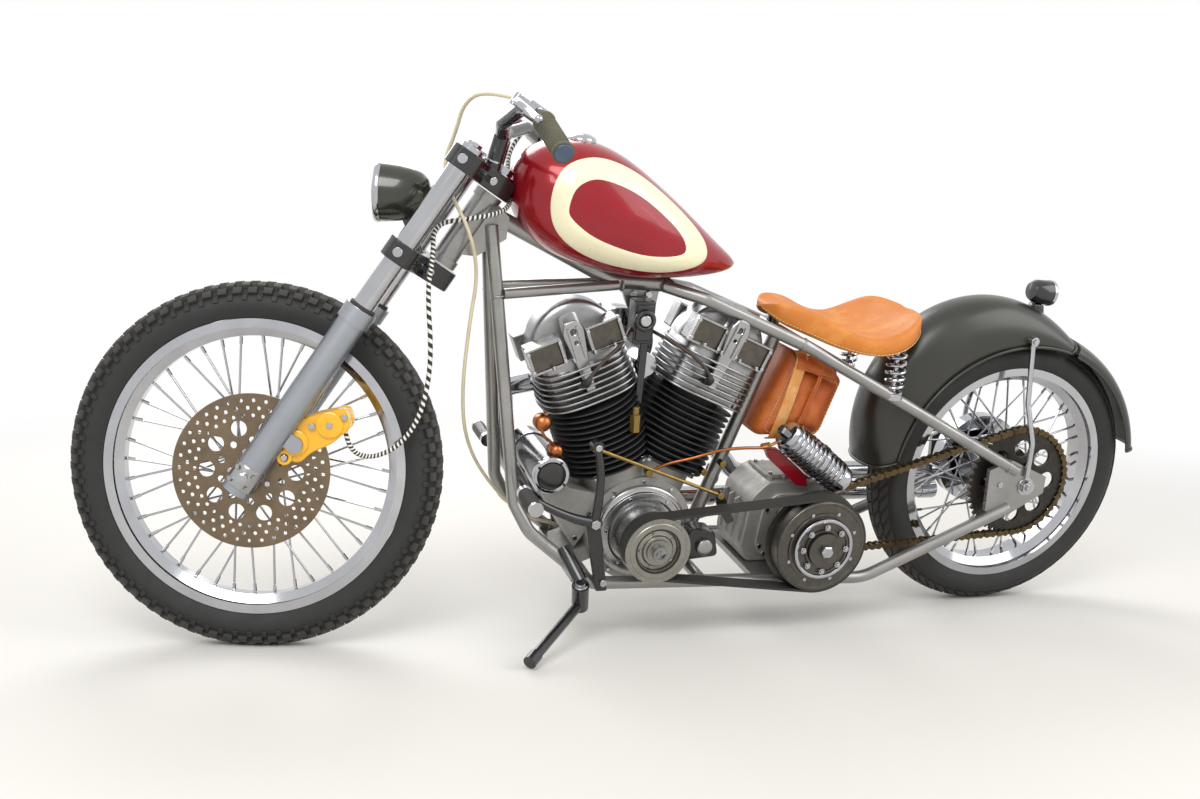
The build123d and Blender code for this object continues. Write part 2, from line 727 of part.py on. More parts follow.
def seat():
    rows = [(x, SADDLE_LOW + low, SADDLE_LOW + high, *rest) for x, low, high, *rest in SEAT_SECTIONS]
    return loft([section(*row) for row in rows])


def seat_mount(seat_part, others):
    """The nose bracket and the two coil springs under the saddle."""
    pieces = [rod((600, 0, SADDLE_LOW + 34), (600, 0, SADDLE_LOW + 84), 12)]
    x, y, z = SPRING_PLACE
    for side in (1, -1):
        pieces.append(rod((x, side * (y - 2), z + 4), (x - 4, side * 92, SADDLE_LOW + 19), 19))
    return [minus(piece, seat_part, *others) for piece in pieces]


def bag(post):
    """A leather bag that hangs in the frame, behind and round the seat post."""
    front = [(573, -3), (637, -176), (629, -188), (494, -190), (483, -178), (448, -66), (458, -54)]
    body = plate([(x, SADDLE_LOW + z) for x, z in front], -68, 68)
    strap = [(548, -10), (573, -10), (598, 26), (578, 26)]
    for side in (36, -36):
        body += plate([(x, SADDLE_LOW + z) for x, z in strap], side - 10, side + 10)
    return body - post


def fender(spine):
    """The deep rear fender: a flared main part and a narrow tail below it."""
    rows = [(142, 0), (44, 3), (26, 9), (12, 22), (3, 41), (0, 63)]
    outer = [(FENDER_RADIUS - deep, FENDER_HALF - tuck) for deep, tuck in rows]
    full = outer + [(r, -y) for r, y in reversed(outer)]
    inner = [(outer[0][0], FENDER_HALF - FENDER_WALL)] + [
        (r - FENDER_WALL, y - FENDER_WALL * (0.9 if y > 50 else 0.2)) for r, y in outer[1:]
    ]
    ring = full + [(r, -y) for r, y in inner] + list(reversed(inner))
    face = make_face(Polyline(*ring, close=True))
    main = Rot(Y=20) * revolve(face, Axis.Y, -157.0)
    main = Pos(FENDER_CENTRE[0], 0, FENDER_CENTRE[1]) * main
    main -= disc(REAR_AXLE, REAR_TYRE_RADIUS - 12, -120, 120)
    return main


def tail_fender(main):
    rows = [(36, 0), (14, 4), (4, 20), (0, 42)]
    outer = [(TAIL_RADIUS - deep, TAIL_HALF - tuck) for deep, tuck in rows]
    full = outer + [(r, -y) for r, y in reversed(outer)]
    inner = [(r - FENDER_WALL * 0.9, y - FENDER_WALL) for r, y in outer]
    ring = full + [(r, -y) for r, y in inner] + list(reversed(inner))
    face = make_face(Polyline(*ring, close=True))
    part = Rot(Y=-110) * revolve(face, Axis.Y, -60.0)
    return minus(Pos(REAR_AXLE[0], 0, REAR_AXLE[1]) * part, main)


def fender_mounts(stay_part, main):
    """On the left: the long strut from the axle, and the stud on the rear stay."""
    top, foot = FENDER_CENTRE[1] + 206, REAR_AXLE[1] + 23
    path = [(20, 83.3, top), (16, 100, top - 140), (8, 129.3, foot + 80), (6, 129.3, foot)]
    x, _, z = STUD_PLACE
    stud = rod((x, 70, z), (x, 100, z), 8)
    return [tube(path, 6, [40, 30]), largest(minus(stud, stay_part, main))]


def tail_lamp(main):
    top = FENDER_CENTRE[1] + FENDER_RADIUS
    lamp = rod((-72, 0, top + 8), (-8, 0, top + 14), 27)
    return largest(minus(lamp + Pos(-34, 0, top - 22) * Box(30, 26, 40), main))


# Controls and stand
def left_control():
    """The gear lever: its pivot on the frame, the toe peg and the upright arm."""
    base = plate([(956, 134), (992, 134), (1022, 296), (992, 300)], 144.5, 153)
    base += rod((1008, 144.5, 286), (1008, 176, 286), 15)
    base += rod((1008, 166, 286), (1150, 170, 348), 9)
    base += rod((1150, 150, 348), (1150, 244, 348), 14)
    base += rod((1008, 166, 286), (1018, 166, 444), 9)
    base += rod((1018, 160, 444), (1018, 180, 444), 12)
    return base


def right_control():
    """The brake pedal and its peg."""
    base = plate([(956, 134), (992, 134), (1022, 296), (992, 300)], -153, -144.5)
    base += rod((1008, -144.5, 286), (1008, -176, 286), 15)
    base += rod((1008, -166, 286), (1150, -170, 348), 9)
    base += rod((1150, -150, 348), (1150, -244, 348), 14)
    return base


STAND_PIVOT = Vector(1022, 166, 118)
STAND_AXIS = Vector(0.17, 0.366, 0.915).normalized()


def lean_point_on_ground(x, y):
    """A ground point of the leaning machine, in the upright frame."""
    return Vector(x, y, 0).rotate(Axis.X, LEAN)


STAND_FOOT = lean_point_on_ground(1160, 318)


def stand_bracket(others):
    lug = rod((1050, 118, 214), (1026, 172, 166), 14)
    boss = rod(STAND_PIVOT + STAND_AXIS * 13, STAND_PIVOT + STAND_AXIS * 50, 17)
    return minus(lug + boss, *others)


def stand_leg():
    """The leg, its pivot eye and the foot flat on the ground."""
    eye = rod(STAND_PIVOT - STAND_AXIS * 13, STAND_PIVOT + STAND_AXIS * 12.9, 17)
    toe = STAND_FOOT + Vector(0, 0, 16)
    leg = rod(STAND_PIVOT - STAND_AXIS * 3, toe, 10.5)
    pad = rod(toe - (toe - STAND_PIVOT).normalized() * 26, toe, 13)
    whole = eye + leg + pad
    ground = lean_inverse_box()
    return whole - ground


def lean_inverse_box():
    """A block whose top is the ground, seen from the upright frame."""
    block = Pos(1100, 300, -50) * Box(600, 600, 100)
    return block.rotate(Axis.X, LEAN)


# Steering pieces, with the steering straight
def fork_leg(side, low, high, radius):
    return rod(
        steer_point(low, FORK_OFFSET, side * FORK_HALF),
        steer_point(high, FORK_OFFSET, side * FORK_HALF),
        radius,
    )


def slider(side):
    low = AXLE_ALONG - SLIDER_FOOT
    leg = fork_leg(side, low, SLIDER_TOP, SLIDER_RADIUS)
    leg += fork_leg(side, SLIDER_TOP - SLIDER_COLLAR, SLIDER_TOP, SLIDER_COLLAR_RADIUS)
    if side > 0:
        ear = steer_point(AXLE_ALONG + 96, FORK_OFFSET - 40, FORK_HALF)
        leg += rod(ear - LEFT * 12, ear + LEFT * 12, 15)
        root = steer_point(AXLE_ALONG + 96, FORK_OFFSET - 20, FORK_HALF)
        leg += Plane(origin=root, x_dir=STEER_FORE, z_dir=STEER_DIR) * Box(36, 20, 28)
    centre = (FRONT_AXLE.X, FRONT_AXLE.Z)
    return leg - disc(centre, AXLE_RADIUS + 0.1, *sorted((side * 60, side * 140)))


def stanchion(side):
    return fork_leg(side, SLIDER_TOP, UPPER_TREE + TREE_THICK / 2 + 6, STANCHION_RADIUS)


def tree(place, with_stem):
    """A fork yoke: a bridge between two clamps and the stem's boss."""
    plane = Plane(origin=steer_point(place - TREE_THICK / 2), x_dir=STEER_FORE, z_dir=STEER_DIR)
    outline = [
        (-30, -20), (-30, 20), (20, 62), (40, 118), (FORK_OFFSET + 24, 118),
        (FORK_OFFSET + 30, 84), (FORK_OFFSET + 10, 66), (30, 40), (30, -40),
        (FORK_OFFSET + 10, -66), (FORK_OFFSET + 30, -84), (FORK_OFFSET + 24, -118),
        (40, -118), (20, -62),
    ]
    body = plane * extrude(make_face(Polyline(*outline, close=True)), TREE_THICK)
    for side in (1, -1):
        hole = fork_leg(side, place - 60, place + 60, STANCHION_RADIUS + 0.05)
        body -= hole
    if with_stem:
        body += rod(steer_point(place), steer_point(UPPER_TREE - TREE_THICK / 2 - 0.2), STEM_RADIUS)
    return body


# Columns: ahead of the steering axis, to the left, above the upper yoke's middle
BAR_PATH = [(35, 0, 69), (44, 110, 93), (25, 200, 129), (-11, 270, 130), (-80, 385, 96)]


def bar_point(row):
    fore, left, above = row
    return steer_point(UPPER_TREE + above, fore, left)


def handlebar(yoke):
    """The bar on its two risers, with a lever perch at each end."""
    left = [bar_point(r) for r in BAR_PATH]
    right = [Vector(p.X, -p.Y, p.Z) for p in reversed(left[1:])]
    points = right + left
    bar = tube([(p.X, p.Y, p.Z) for p in points], 12.7, 38)
    for side in (1, -1):
        foot = steer_point(UPPER_TREE + TREE_THICK / 2 - 5, 18, side * 40)
        bar += rod(foot, steer_point(UPPER_TREE + 76, 38, side * 42), 15)
    return largest(minus(bar, yoke))


def grips(bar):
    made = []
    for side in (1, -1):
        a, b = bar_point(BAR_PATH[3]), bar_point(BAR_PATH[4])
        line = (b - a).normalized()
        start, end = a + line * 22, b + line * 6
        if side < 0:
            start, end = Vector(start.X, -start.Y, start.Z), Vector(end.X, -end.Y, end.Z)
        made.append(rod(start, end, 17) - bar)
    return made


def lever(side, bar):
    """A perch clamped on the bar and its blade."""
    a, b = bar_point(BAR_PATH[2]), bar_point(BAR_PATH[3])
    at = a + (b - a) * 0.8
    tip = bar_point(BAR_PATH[4]) + STEER_FORE * 62 + STEER_DIR * 20
    root = at + STEER_FORE * 40
    if side < 0:
        at, tip, root = [Vector(p.X, -p.Y, p.Z) for p in (at, tip, root)]
    return rod(at - (root - at) * 0.4, root, 15) + rod(root, tip, 6) - bar


def caliper(slider_part):
    """The front brake caliper, open round the disc's edge."""
    centre = Vector(FRONT_AXLE.X, 0, FRONT_AXLE.Z)
    spots = [(-84, 60, 34), (-150, 104, 28)]
    low, high = DISC_PLANE - 26, DISC_PLANE + 34
    body = None
    for dx, dz, radius in spots:
        piece = disc((centre.X + dx, centre.Z + dz), radius, low, high)
        body = piece if body is None else body + piece
    outline = [(-104, 88), (-170, 124), (-132, 82), (-60, 38)]
    body += plate([(centre.X + x, centre.Z + z) for x, z in outline], low, high)
    reach = DISC_THICK / 2 + CALIPER_GAP
    slot = disc((centre.X, centre.Z), DISC_RADIUS + 6, DISC_PLANE - reach, DISC_PLANE + reach)
    clear = fork_leg(1, AXLE_ALONG - 40, AXLE_ALONG + 240, SLIDER_RADIUS + 0.2)
    return minus(body, slot, clear, slider_part)


def headlamp(yoke):
    """A small bowl headlamp ahead of the fork legs, on a post from the lower yoke."""
    middle = steer_point(LOWER_TREE + 88, FORK_OFFSET + 67)
    centre = (middle.X, middle.Z)
    rows = [(54, 0), (50, 30), (46, 50), (44, 54), (34, 55), (10, 52), (-24, 42), (-44, 26), (-52, 0)]
    outline = [(centre[0] + x, centre[1] + r) for x, r in rows]
    face = make_face(Polyline(*outline, close=True))
    face = Plane(origin=(0, 0, 0), x_dir=(1, 0, 0), z_dir=(0, -1, 0)) * face
    bowl = revolve(face, Axis((0, 0, centre[1]), (1, 0, 0)))
    post = rod(steer_point(LOWER_TREE, 26), (centre[0] - 6, 0, centre[1] - 44), 8)
    return minus(bowl + post, yoke)


# Places on the steering: ahead of its axis, to the left, and along it
HOSE_PATH = [
    (30, -256, 1186), (26, -150, 1142), (-2, -70, 1100), (-40, -14, 1064), (-44, 24, 1036),
    (-6, 46, 994), (50, 52, 944), (12, 75, 893), (-10, 68, 840), (-92, 60, 736),
    (-134, 60, 641), (-134, 60, 570), (-104, 62, 520), (-62, 78, 512), (-36, 80, 540),
]
CABLE_FORK_PATH = [
    (30, 256, 1204), (92, 176, 1190), (122, 112, 1156), (108, 60, 1100), (98, 46, 1046),
    (54, 60, 1006), (-14, 62, 972),
]
# Places in the upright frame
CABLE_FRAME_PATH = [
    (1236, 28, 740), (1246, 24, 650), (1252, 18, 500), (1232, 6, 390), (1160, -30, 282),
    (1060, -92, 186), (900, -98, 158), (690, -92, 164), (610, -76, 214),
]
HOSE_RADIUS, CABLE_RADIUS = 4.5, 3.5


def brake_hose(right_lever, caliper_part):
    points = [steer_point(along, fore, left) for fore, left, along in HOSE_PATH]
    whole = tube([(p.X, p.Y, p.Z) for p in points], HOSE_RADIUS, 14)
    return minus(whole, right_lever, caliper_part)


def clutch_cable(left_lever, box):
    """From its lever, round the head and down to the gearbox's right side."""
    turned = [steered(steer_point(along, fore, left)) for fore, left, along in CABLE_FORK_PATH]
    points = [(p.X, p.Y, p.Z) for p in turned] + CABLE_FRAME_PATH
    whole = tube(points, CABLE_RADIUS, 20)
    return minus(whole, left_lever.rotate(STEER_AXIS, STEER), box)


def steered(point):
    return (point - STEER_FOOT).rotate(STEER_AXIS, STEER) + STEER_FOOT


# Nodes of each body; the steering's are turned with it
def build():
    head_part = steering_head()
    spine = backbone(head_part)
    down = minus(tube(DOWNTUBE_PATH, TUBE_RADIUS, [40, 60]), head_part, spine)
    rail = bottom_rail()
    plate_part = axle_plate()
    rail = minus(rail, plate_part, down)
    stay_part = minus(stay(spine), plate_part)
    rails = [rail, mirrored(rail), down, mirrored(down)]
    cross = cross_members()
    post = rod(*SEAT_POST, 14) + rod((588, -95, 634), (588, 95, 634), 11)
    post = minus(post, stay_part, mirrored(stay_part), *cross)
    ties = tie_tube(spine, down)

    case = crankcase(cross)
    heads = [head(1), head(-1)]
    tank_part = tank(spine, ties)
    main_fender = fender(spine)
    mounts = fender_mounts(stay_part, main_fender)
    saddle = seat()
    stays = both(stay_part)
    low_yoke, high_yoke = tree(LOWER_TREE, True), tree(UPPER_TREE, False)
    bar = handlebar(high_yoke)
    left_slider = slider(1)
    levers = [lever(1, bar), lever(-1, bar)]
    caliper_part = caliper(left_slider)
    box = gearbox()

    chassis = {
        "steering_head": [head_part],
        "backbone": [spine],
        "downtubes": both(down),
        "bottom_rails": both(rail),
        "rear_stays": both(stay_part),
        "axle_plates": both(plate_part),
        "seat_post": [post],
        "cross_members": cross,
        "tie_tubes": both(ties),
        "crankcase": [case],
        "front_barrel": [barrel(1, case)],
        "rear_barrel": [barrel(-1, case)],
        "front_head": [heads[0]],
        "rear_head": [heads[1]],
        "generator": [generator()],
        "timing_cover": [timing_cover()],
        "carburettor": [carburettor()],
        "exhaust_pipes": exhaust(heads),
        "front_pulley": [front_pulley()],
        "clutch_pulley": [clutch_pulley()],
        "primary_belt": [primary_belt()],
        "gearbox": [box + kick_starter()],
        "drive_chain": [drive_chain()],
        "oil_filter": [oil_filter()],
        "fuel_tank": [tank_part],
        "fuel_cap": [fuel_cap(tank_part)],
        "seat": [saddle],
        "seat_mount": seat_mount(saddle, [post] + stays),
        "leather_bag": [bag(post)],
        "rear_fender": [main_fender],
        "tail_fender": [tail_fender(main_fender)],
        "fender_struts": [s for m in mounts for s in both(m)],
        "tail_lamp": [tail_lamp(main_fender)],
        "gear_lever": [left_control()],
        "brake_pedal": [right_control()],
        "stand_bracket": [stand_bracket(rails)],
        "rear_axle": [axle(REAR_AXLE, REAR_AXLE_HALF, PLATE_OUTER)],
        "clutch_cable": [clutch_cable(levers[0], box)],
    }
    fork = {
        "fork_sliders": [left_slider, slider(-1)],
        "fork_stanchions": [stanchion(1), stanchion(-1)],
        "lower_yoke": [low_yoke],
        "upper_yoke": [high_yoke],
        "handlebar": [bar],
        "grips": grips(bar),
        "levers": levers,
        "brake_caliper": [caliper_part],
        "headlamp": [headlamp(low_yoke)],
        "brake_hose": [brake_hose(levers[1], caliper_part)],
        "front_axle": [axle((FRONT_AXLE.X, FRONT_AXLE.Z), FRONT_AXLE_HALF, FORK_HALF + SLIDER_RADIUS)],
    }
    front_wheel = {
        "front_tyre": [tyre(True)],
        "front_rim": [rim(True)],
        "front_spokes": spokes(True),
        "front_hub": [hub(True)],
        "brake_disc": [brake_disc()],
    }
    rear_wheel = {
        "rear_tyre": [tyre(False)],
        "rear_rim": [rim(False)],
        "rear_spokes": spokes(False),
        "rear_hub": [hub(False) + brake_drum()],
        "rear_sprocket": [sprocket()],
    }
    stand = {"side_stand": [stand_leg()]}
    turned = {}
    for group in (fork, front_wheel):
        for name, solids in group.items():
            turned[name] = [s.rotate(STEER_AXIS, STEER) for s in solids]
    bodies = {
        "chassis": list(chassis),
        "fork": list(fork),
        "front_wheel": list(front_wheel),
        "rear_wheel": list(rear_wheel),
        "side_stand": list(stand),
    }
    return {**chassis, **turned, **rear_wheel, **stand}, bodies


NODES, BODIES = build()
PARTS = {name: [lean(s) for s in solids] for name, solids in NODES.items()}
boxes = [s.bounding_box() for solids in PARTS.values() for s in solids]
LOW = [min(getattr(b.min, c) for b in boxes) for c in "XYZ"]
HIGH = [max(getattr(b.max, c) for b in boxes) for c in "XYZ"]
ORIGIN = Vector((LOW[0] + HIGH[0]) / 2, (LOW[1] + HIGH[1]) / 2, LOW[2])


def placed(vector):
    """A point of the upright, straight machine as it stands in the part's frame."""
    return lean_vector(vector) - ORIGIN


os.makedirs("parts", exist_ok=True)
for name, solids in PARTS.items():
    moved = [s.moved(Location(-ORIGIN)) for s in solids]
    shapes = [solid for s in moved for solid in s.solids()]
    shape = shapes[0] if len(shapes) == 1 else Compound(children=shapes)
    export_step(shape, f"parts/{name}.step")

print("origin", ORIGIN, "low", LOW, "high", HIGH)
print("front axle along", AXLE_ALONG, "front axle", FRONT_AXLE)
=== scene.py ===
import bmesh
import bpy
import json
import numpy as np
from mathutils import Matrix


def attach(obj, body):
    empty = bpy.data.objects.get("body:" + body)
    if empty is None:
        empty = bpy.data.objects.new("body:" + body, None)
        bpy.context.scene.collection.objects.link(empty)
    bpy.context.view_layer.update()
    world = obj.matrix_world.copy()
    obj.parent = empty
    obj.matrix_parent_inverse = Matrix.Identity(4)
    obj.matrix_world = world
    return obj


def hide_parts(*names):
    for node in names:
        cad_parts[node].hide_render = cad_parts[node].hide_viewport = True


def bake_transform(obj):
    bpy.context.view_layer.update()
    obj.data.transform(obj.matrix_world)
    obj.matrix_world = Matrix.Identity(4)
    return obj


# A long chopper with a rigid frame, parked on its side stand, its front wheel turned a
# little to the right. The frame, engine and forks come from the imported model; the pieces
# made here are written in millimetres on the upright machine and are then leaned over.

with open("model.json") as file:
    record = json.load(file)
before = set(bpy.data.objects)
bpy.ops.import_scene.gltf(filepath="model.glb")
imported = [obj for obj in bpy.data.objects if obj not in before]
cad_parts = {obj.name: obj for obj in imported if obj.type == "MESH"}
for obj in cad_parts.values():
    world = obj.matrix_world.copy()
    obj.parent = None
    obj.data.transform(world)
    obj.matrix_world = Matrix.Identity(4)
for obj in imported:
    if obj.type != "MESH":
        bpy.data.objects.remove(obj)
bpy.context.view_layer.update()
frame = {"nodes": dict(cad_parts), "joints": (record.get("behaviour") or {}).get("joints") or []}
scene = bpy.context.scene
scene.view_settings.view_transform = "Standard"

# Where the machine stands
# The upright drawing has X forward, Y to the rider's left, Z up and its origin on the
# ground below the rear axle. It leans on its stand, and the steering turns about the
# raked head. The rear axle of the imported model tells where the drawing's origin lies.
LEAN, STEER, RAKE = np.radians((10.5, -19.0, 32.0))
REAR_AXLE = np.array((0.0, 0.0, 316.94))
STEER_FOOT = np.array((1773.8, 0.0, 0.0))
STEER_UP = np.array((-np.sin(RAKE), 0.0, np.cos(RAKE)))
STEER_FORE = np.array((np.cos(RAKE), 0.0, np.sin(RAKE)))
LEFT = np.array((0.0, 1.0, 0.0))
LEANED = np.array(Matrix.Rotation(-LEAN, 3, "X"))
TURNED = np.array(Matrix.Rotation(STEER, 3, STEER_UP))
places = {joint["name"]: np.array(joint["pos_m"]) for joint in frame["joints"]}
ORIGIN = LEANED @ REAR_AXLE / 1000 - places["rear_wheel_spin"]
# the fork legs stand this far ahead of the steering's axis and out from the middle
LEG_AHEAD, LEG_OUT = 64, 100
FRONT_AXLE = STEER_FOOT + STEER_UP * 374.975 + STEER_FORE * LEG_AHEAD


def on_frame(points):
    """Points of the upright drawing, leaned over, in the model's metres."""
    return np.asarray(points, float) @ LEANED.T / 1000 - ORIGIN


def on_fork(points):
    """The same for a piece that turns with the steering."""
    return on_frame((np.asarray(points, float) - STEER_FOOT) @ TURNED.T + STEER_FOOT)


def steering(rows):
    """Rows of (ahead of the steering axis, to the left, along it) as drawing points."""
    fore, left, along = np.asarray(rows, float).T[:, :, None]
    return STEER_FOOT + STEER_UP * along + STEER_FORE * fore + LEFT * left


# Floor and light
# A pale studio floor under a white surround, and three large soft lamps above the machine,
# two on the camera's side and one behind, so that the chrome has bands to mirror.
def linear(code):
    """An sRGB colour such as #a1b2c3 as linear red, green, blue and alpha."""
    c = np.array([int(code[k : k + 2], 16) / 255 for k in (1, 3, 5)])
    return (*np.where(c <= 0.04045, c / 12.92, ((c + 0.055) / 1.055) ** 2.4), 1.0)


def add(tree, kind, links=None, **settings):
    """Adds a node to a tree, with its settings by name and its inputs linked."""
    made = tree.nodes.new(kind)
    for key, value in settings.items():
        if hasattr(made, key):
            setattr(made, key, value)
        else:
            made.inputs[key.replace("_", " ")].default_value = value
    for key, socket in (links or {}).items():
        tree.links.new(socket, made.inputs[key])
    return made


world = bpy.data.worlds.new("white_surround")
scene.world = world
world.use_nodes = True
tree = world.node_tree
tree.nodes.clear()
rays = add(tree, "ShaderNodeLightPath").outputs
seen = rays["Is Camera Ray"]
for kind in ("Is Glossy Ray", "Is Transmission Ray"):
    seen = add(tree, "ShaderNodeMath", {0: seen, 1: rays[kind]}, operation="MAXIMUM").outputs[0]
glow = add(tree, "ShaderNodeBackground", Color=linear("#f4f2ee"), Strength=0.72).outputs[0]
white = add(tree, "ShaderNodeBackground", Color=linear("#ffffff"), Strength=1.0).outputs[0]
either = add(tree, "ShaderNodeMixShader", {0: seen, 1: glow, 2: white}).outputs[0]
add(tree, "ShaderNodeOutputWorld", {"Surface": either})

floor_mesh = bpy.data.meshes.new("studio_floor")
corners = [(-30, -40, 0), (30, -40, 0), (30, 12, 0), (-30, 12, 0)]
floor_mesh.from_pydata(corners, [], [(0, 1, 2, 3)])
floor = bpy.data.objects.new("studio_floor", floor_mesh)
scene.collection.objects.link(floor)
paint = bpy.data.materials.new("pale_matt_floor")
paint.use_nodes = True
tree = paint.node_tree
shader = tree.nodes["Principled BSDF"]
shader.inputs["Base Color"].default_value = linear("#d8d6d2")
shader.inputs["Roughness"].default_value = 0.8
# the paint turns into the white of the surround between 1.5 m and 4 m off: the share rises
# with the distance from the origin along the floor
spot = add(tree, "ShaderNodeTexCoord").outputs["Object"]
reach = add(tree, "ShaderNodeVectorMath", {0: spot}, operation="LENGTH").outputs["Value"]
far = add(
    tree, "ShaderNodeMapRange", {"Value": reach},
    interpolation_type="SMOOTHSTEP", From_Min=1.5, From_Max=4.0,
).outputs[0]
plain = add(tree, "ShaderNodeEmission", Color=linear("#ffffff"), Strength=1.0).outputs[0]
blended = add(tree, "ShaderNodeMixShader", {0: far, 1: shader.outputs[0], 2: plain})
tree.links.new(blended.outputs[0], tree.nodes["Material Output"].inputs["Surface"])
floor_mesh.materials.append(paint)

# Columns: name, place, aim, size across, power
for name, place, aim, size, power in (
    ("key", (1.6, 2.6, 3.0), (0.0, 0.0, 0.4), 2.2, 105),
    ("fill", (-2.6, 2.0, 2.2), (0.0, 0.0, 0.4), 2.6, 60),
    ("rim", (0.4, -3.0, 2.6), (0.0, 0.0, 0.5), 2.4, 80),
):
    lamp = bpy.data.lights.new(name, "AREA")
    lamp.size, lamp.energy = size, power
    light = bpy.data.objects.new(name, lamp)
    scene.collection.objects.link(light)
    light.location = place
    way = Matrix.Translation(place).translation - Matrix.Translation(aim).translation
    light.rotation_euler = way.to_track_quat("Z", "Y").to_euler()

# Camera
# A little under 0.8 m above the floor, to the left of the machine and a metre ahead of its
# middle; found from the ellipses of both wheels.
CAMERA_AT = (0.9888, 2.3988, 0.7806)
# the focal length in the photograph's pixels, its width in pixels, and a sensor 36 mm wide
FOCAL, WIDE, SENSOR = 1320.37, 1200, 36
yaw, pitch, roll = np.radians((18.5714, 6.574, 1.9029))
ahead = -np.array((np.sin(yaw) * np.cos(pitch), np.cos(yaw) * np.cos(pitch), np.sin(pitch)))
across = np.array((-np.cos(yaw), np.sin(yaw), 0.0))
above = np.cross(across, ahead)
turned_across = np.cos(roll) * across + np.sin(roll) * above
turned_above = -np.sin(roll) * across + np.cos(roll) * above
camera = bpy.data.objects.new("camera", bpy.data.cameras.new("camera"))
scene.collection.objects.link(camera)
camera.data.sensor_width = SENSOR
camera.data.lens = FOCAL * SENSOR / WIDE
matrix = np.eye(4)
matrix[:3] = np.column_stack([turned_across, turned_above, -ahead, CAMERA_AT])
camera.matrix_world = Matrix(matrix)
scene.camera = camera

# Brake hose and clutch cable
# The hose is black rubber in a spiral sleeve, from the master cylinder on the right grip
# over the yokes and down beside the left fork leg to the caliper. The cable is a cream
# plastic sheath round steel wire, from the left lever past the head to the gearbox.

# the slot that each finish goes into, by its material's name
slot_of = {}
# the sockets of a colour mix: the two that take its colours, and the one that gives it out
FIRST, SECOND, MIXED = 6, 7, 2


def tint(made, share, code):
    """Mixes a second colour over a material's own, by a share from none to all of it."""
    tree = made.node_tree
    base = tree.nodes["Principled BSDF"].inputs["Base Color"]
    mix = add(tree, "ShaderNodeMix", {"Factor": share}, data_type="RGBA")
    if base.links:
        tree.links.new(base.links[0].from_socket, mix.inputs[FIRST])
    else:
        mix.inputs[FIRST].default_value = base.default_value
    mix.inputs[SECOND].default_value = linear(code)
    tree.links.new(mix.outputs[MIXED], base)


def finish(
    name, slot, colour, rough, metal=0.0, shade=None, patch=40, gloss=None, grain=0, depth=0,
    **rest,
):
    """A surface of one material: its colour drifts to its shade over patches of a size in
    mm and its roughness to its gloss with it; a grain of a size in mm stands in its bump."""
    made = bpy.data.materials.new(name)
    slot_of[name] = slot
    made.use_nodes = True
    tree = made.node_tree
    skin = tree.nodes["Principled BSDF"].inputs
    skin["Base Color"].default_value = linear(colour)
    skin["Roughness"].default_value = rough
    skin["Metallic"].default_value = metal
    for key, value in rest.items():
        skin[key.replace("_", " ")].default_value = value
    place = add(tree, "ShaderNodeTexCoord").outputs["Object"]
    drift = add(
        tree, "ShaderNodeTexNoise", {"Vector": place}, Scale=1000 / patch, Detail=5.0, Roughness=0.6
    ).outputs["Fac"]
    if shade:
        tint(made, drift, shade)
    if gloss is not None:
        ramp = add(tree, "ShaderNodeMapRange", {"Value": drift}, From_Min=0.3, From_Max=0.7)
        ramp.inputs["To Min"].default_value = rough
        ramp.inputs["To Max"].default_value = gloss
        tree.links.new(ramp.outputs[0], skin["Roughness"])
    if grain:
        fine = add(tree, "ShaderNodeTexNoise", {"Vector": place}, Scale=1000 / grain, Detail=3.0)
        bump = add(
            tree, "ShaderNodeBump", {"Height": fine.outputs["Fac"]},
            Strength=1.0, Distance=depth / 1000,
        )
        tree.links.new(bump.outputs[0], skin["Normal"])
    return made


def cord(name, points, radius, material):
    """A cord on one smooth curve through the route's control points."""
    line = bpy.data.curves.new(name, "CURVE")
    line.dimensions = "3D"
    spline = line.splines.new("NURBS")
    spline.points.add(len(points) - 1)
    spline.points.foreach_set("co", np.column_stack([points, np.ones(len(points))]).ravel())
    spline.order_u = 3
    spline.use_endpoint_u = True
    line.resolution_u = 8
    line.bevel_depth = radius
    line.bevel_resolution = 3
    line.use_fill_caps = True
    line.materials.append(material)
    made = bpy.data.objects.new(name, line)
    scene.collection.objects.link(made)
    return made


# hose rubber is matt and nearly black
hose_rubber = finish(
    "black_hose_rubber", "hose_rubber", "#17171a", 0.55, shade="#26262a", patch=12,
)
# a spiral sleeve round the hose shows a white and a black band each turn: this many turns
# along its length, and black over this share of each
SLEEVE_TURNS, SLEEVE_BLACK = 96, 0.55
tree = hose_rubber.node_tree
place = add(tree, "ShaderNodeSeparateXYZ", {0: add(tree, "ShaderNodeTexCoord").outputs["UV"]})
turns = add(
    tree, "ShaderNodeMath", {0: place.outputs["X"], 2: place.outputs["Y"]},
    operation="MULTIPLY_ADD",
)
turns.inputs[1].default_value = SLEEVE_TURNS
part_turn = add(tree, "ShaderNodeMath", {0: turns.outputs[0]}, operation="FRACT")
band = add(tree, "ShaderNodeMath", {0: part_turn.outputs[0]}, operation="GREATER_THAN")
band.inputs[1].default_value = SLEEVE_BLACK
tint(hose_rubber, band.outputs[0], "#dedcd2")
HOSE = steering([
    (30, -256, 1186), (26, -150, 1142), (-2, -70, 1100), (-40, -14, 1064), (-44, 24, 1036),
    (-6, 46, 994), (50, 52, 944), (12, 75, 893), (-10, 68, 840), (-92, 60, 736),
    (-134, 60, 641), (-134, 60, 570), (-104, 62, 520), (-62, 78, 512), (-36, 80, 540),
])
HOSE_RADIUS = 0.0045
hose = cord("brake_hose_line", on_fork(HOSE), HOSE_RADIUS, hose_rubber)

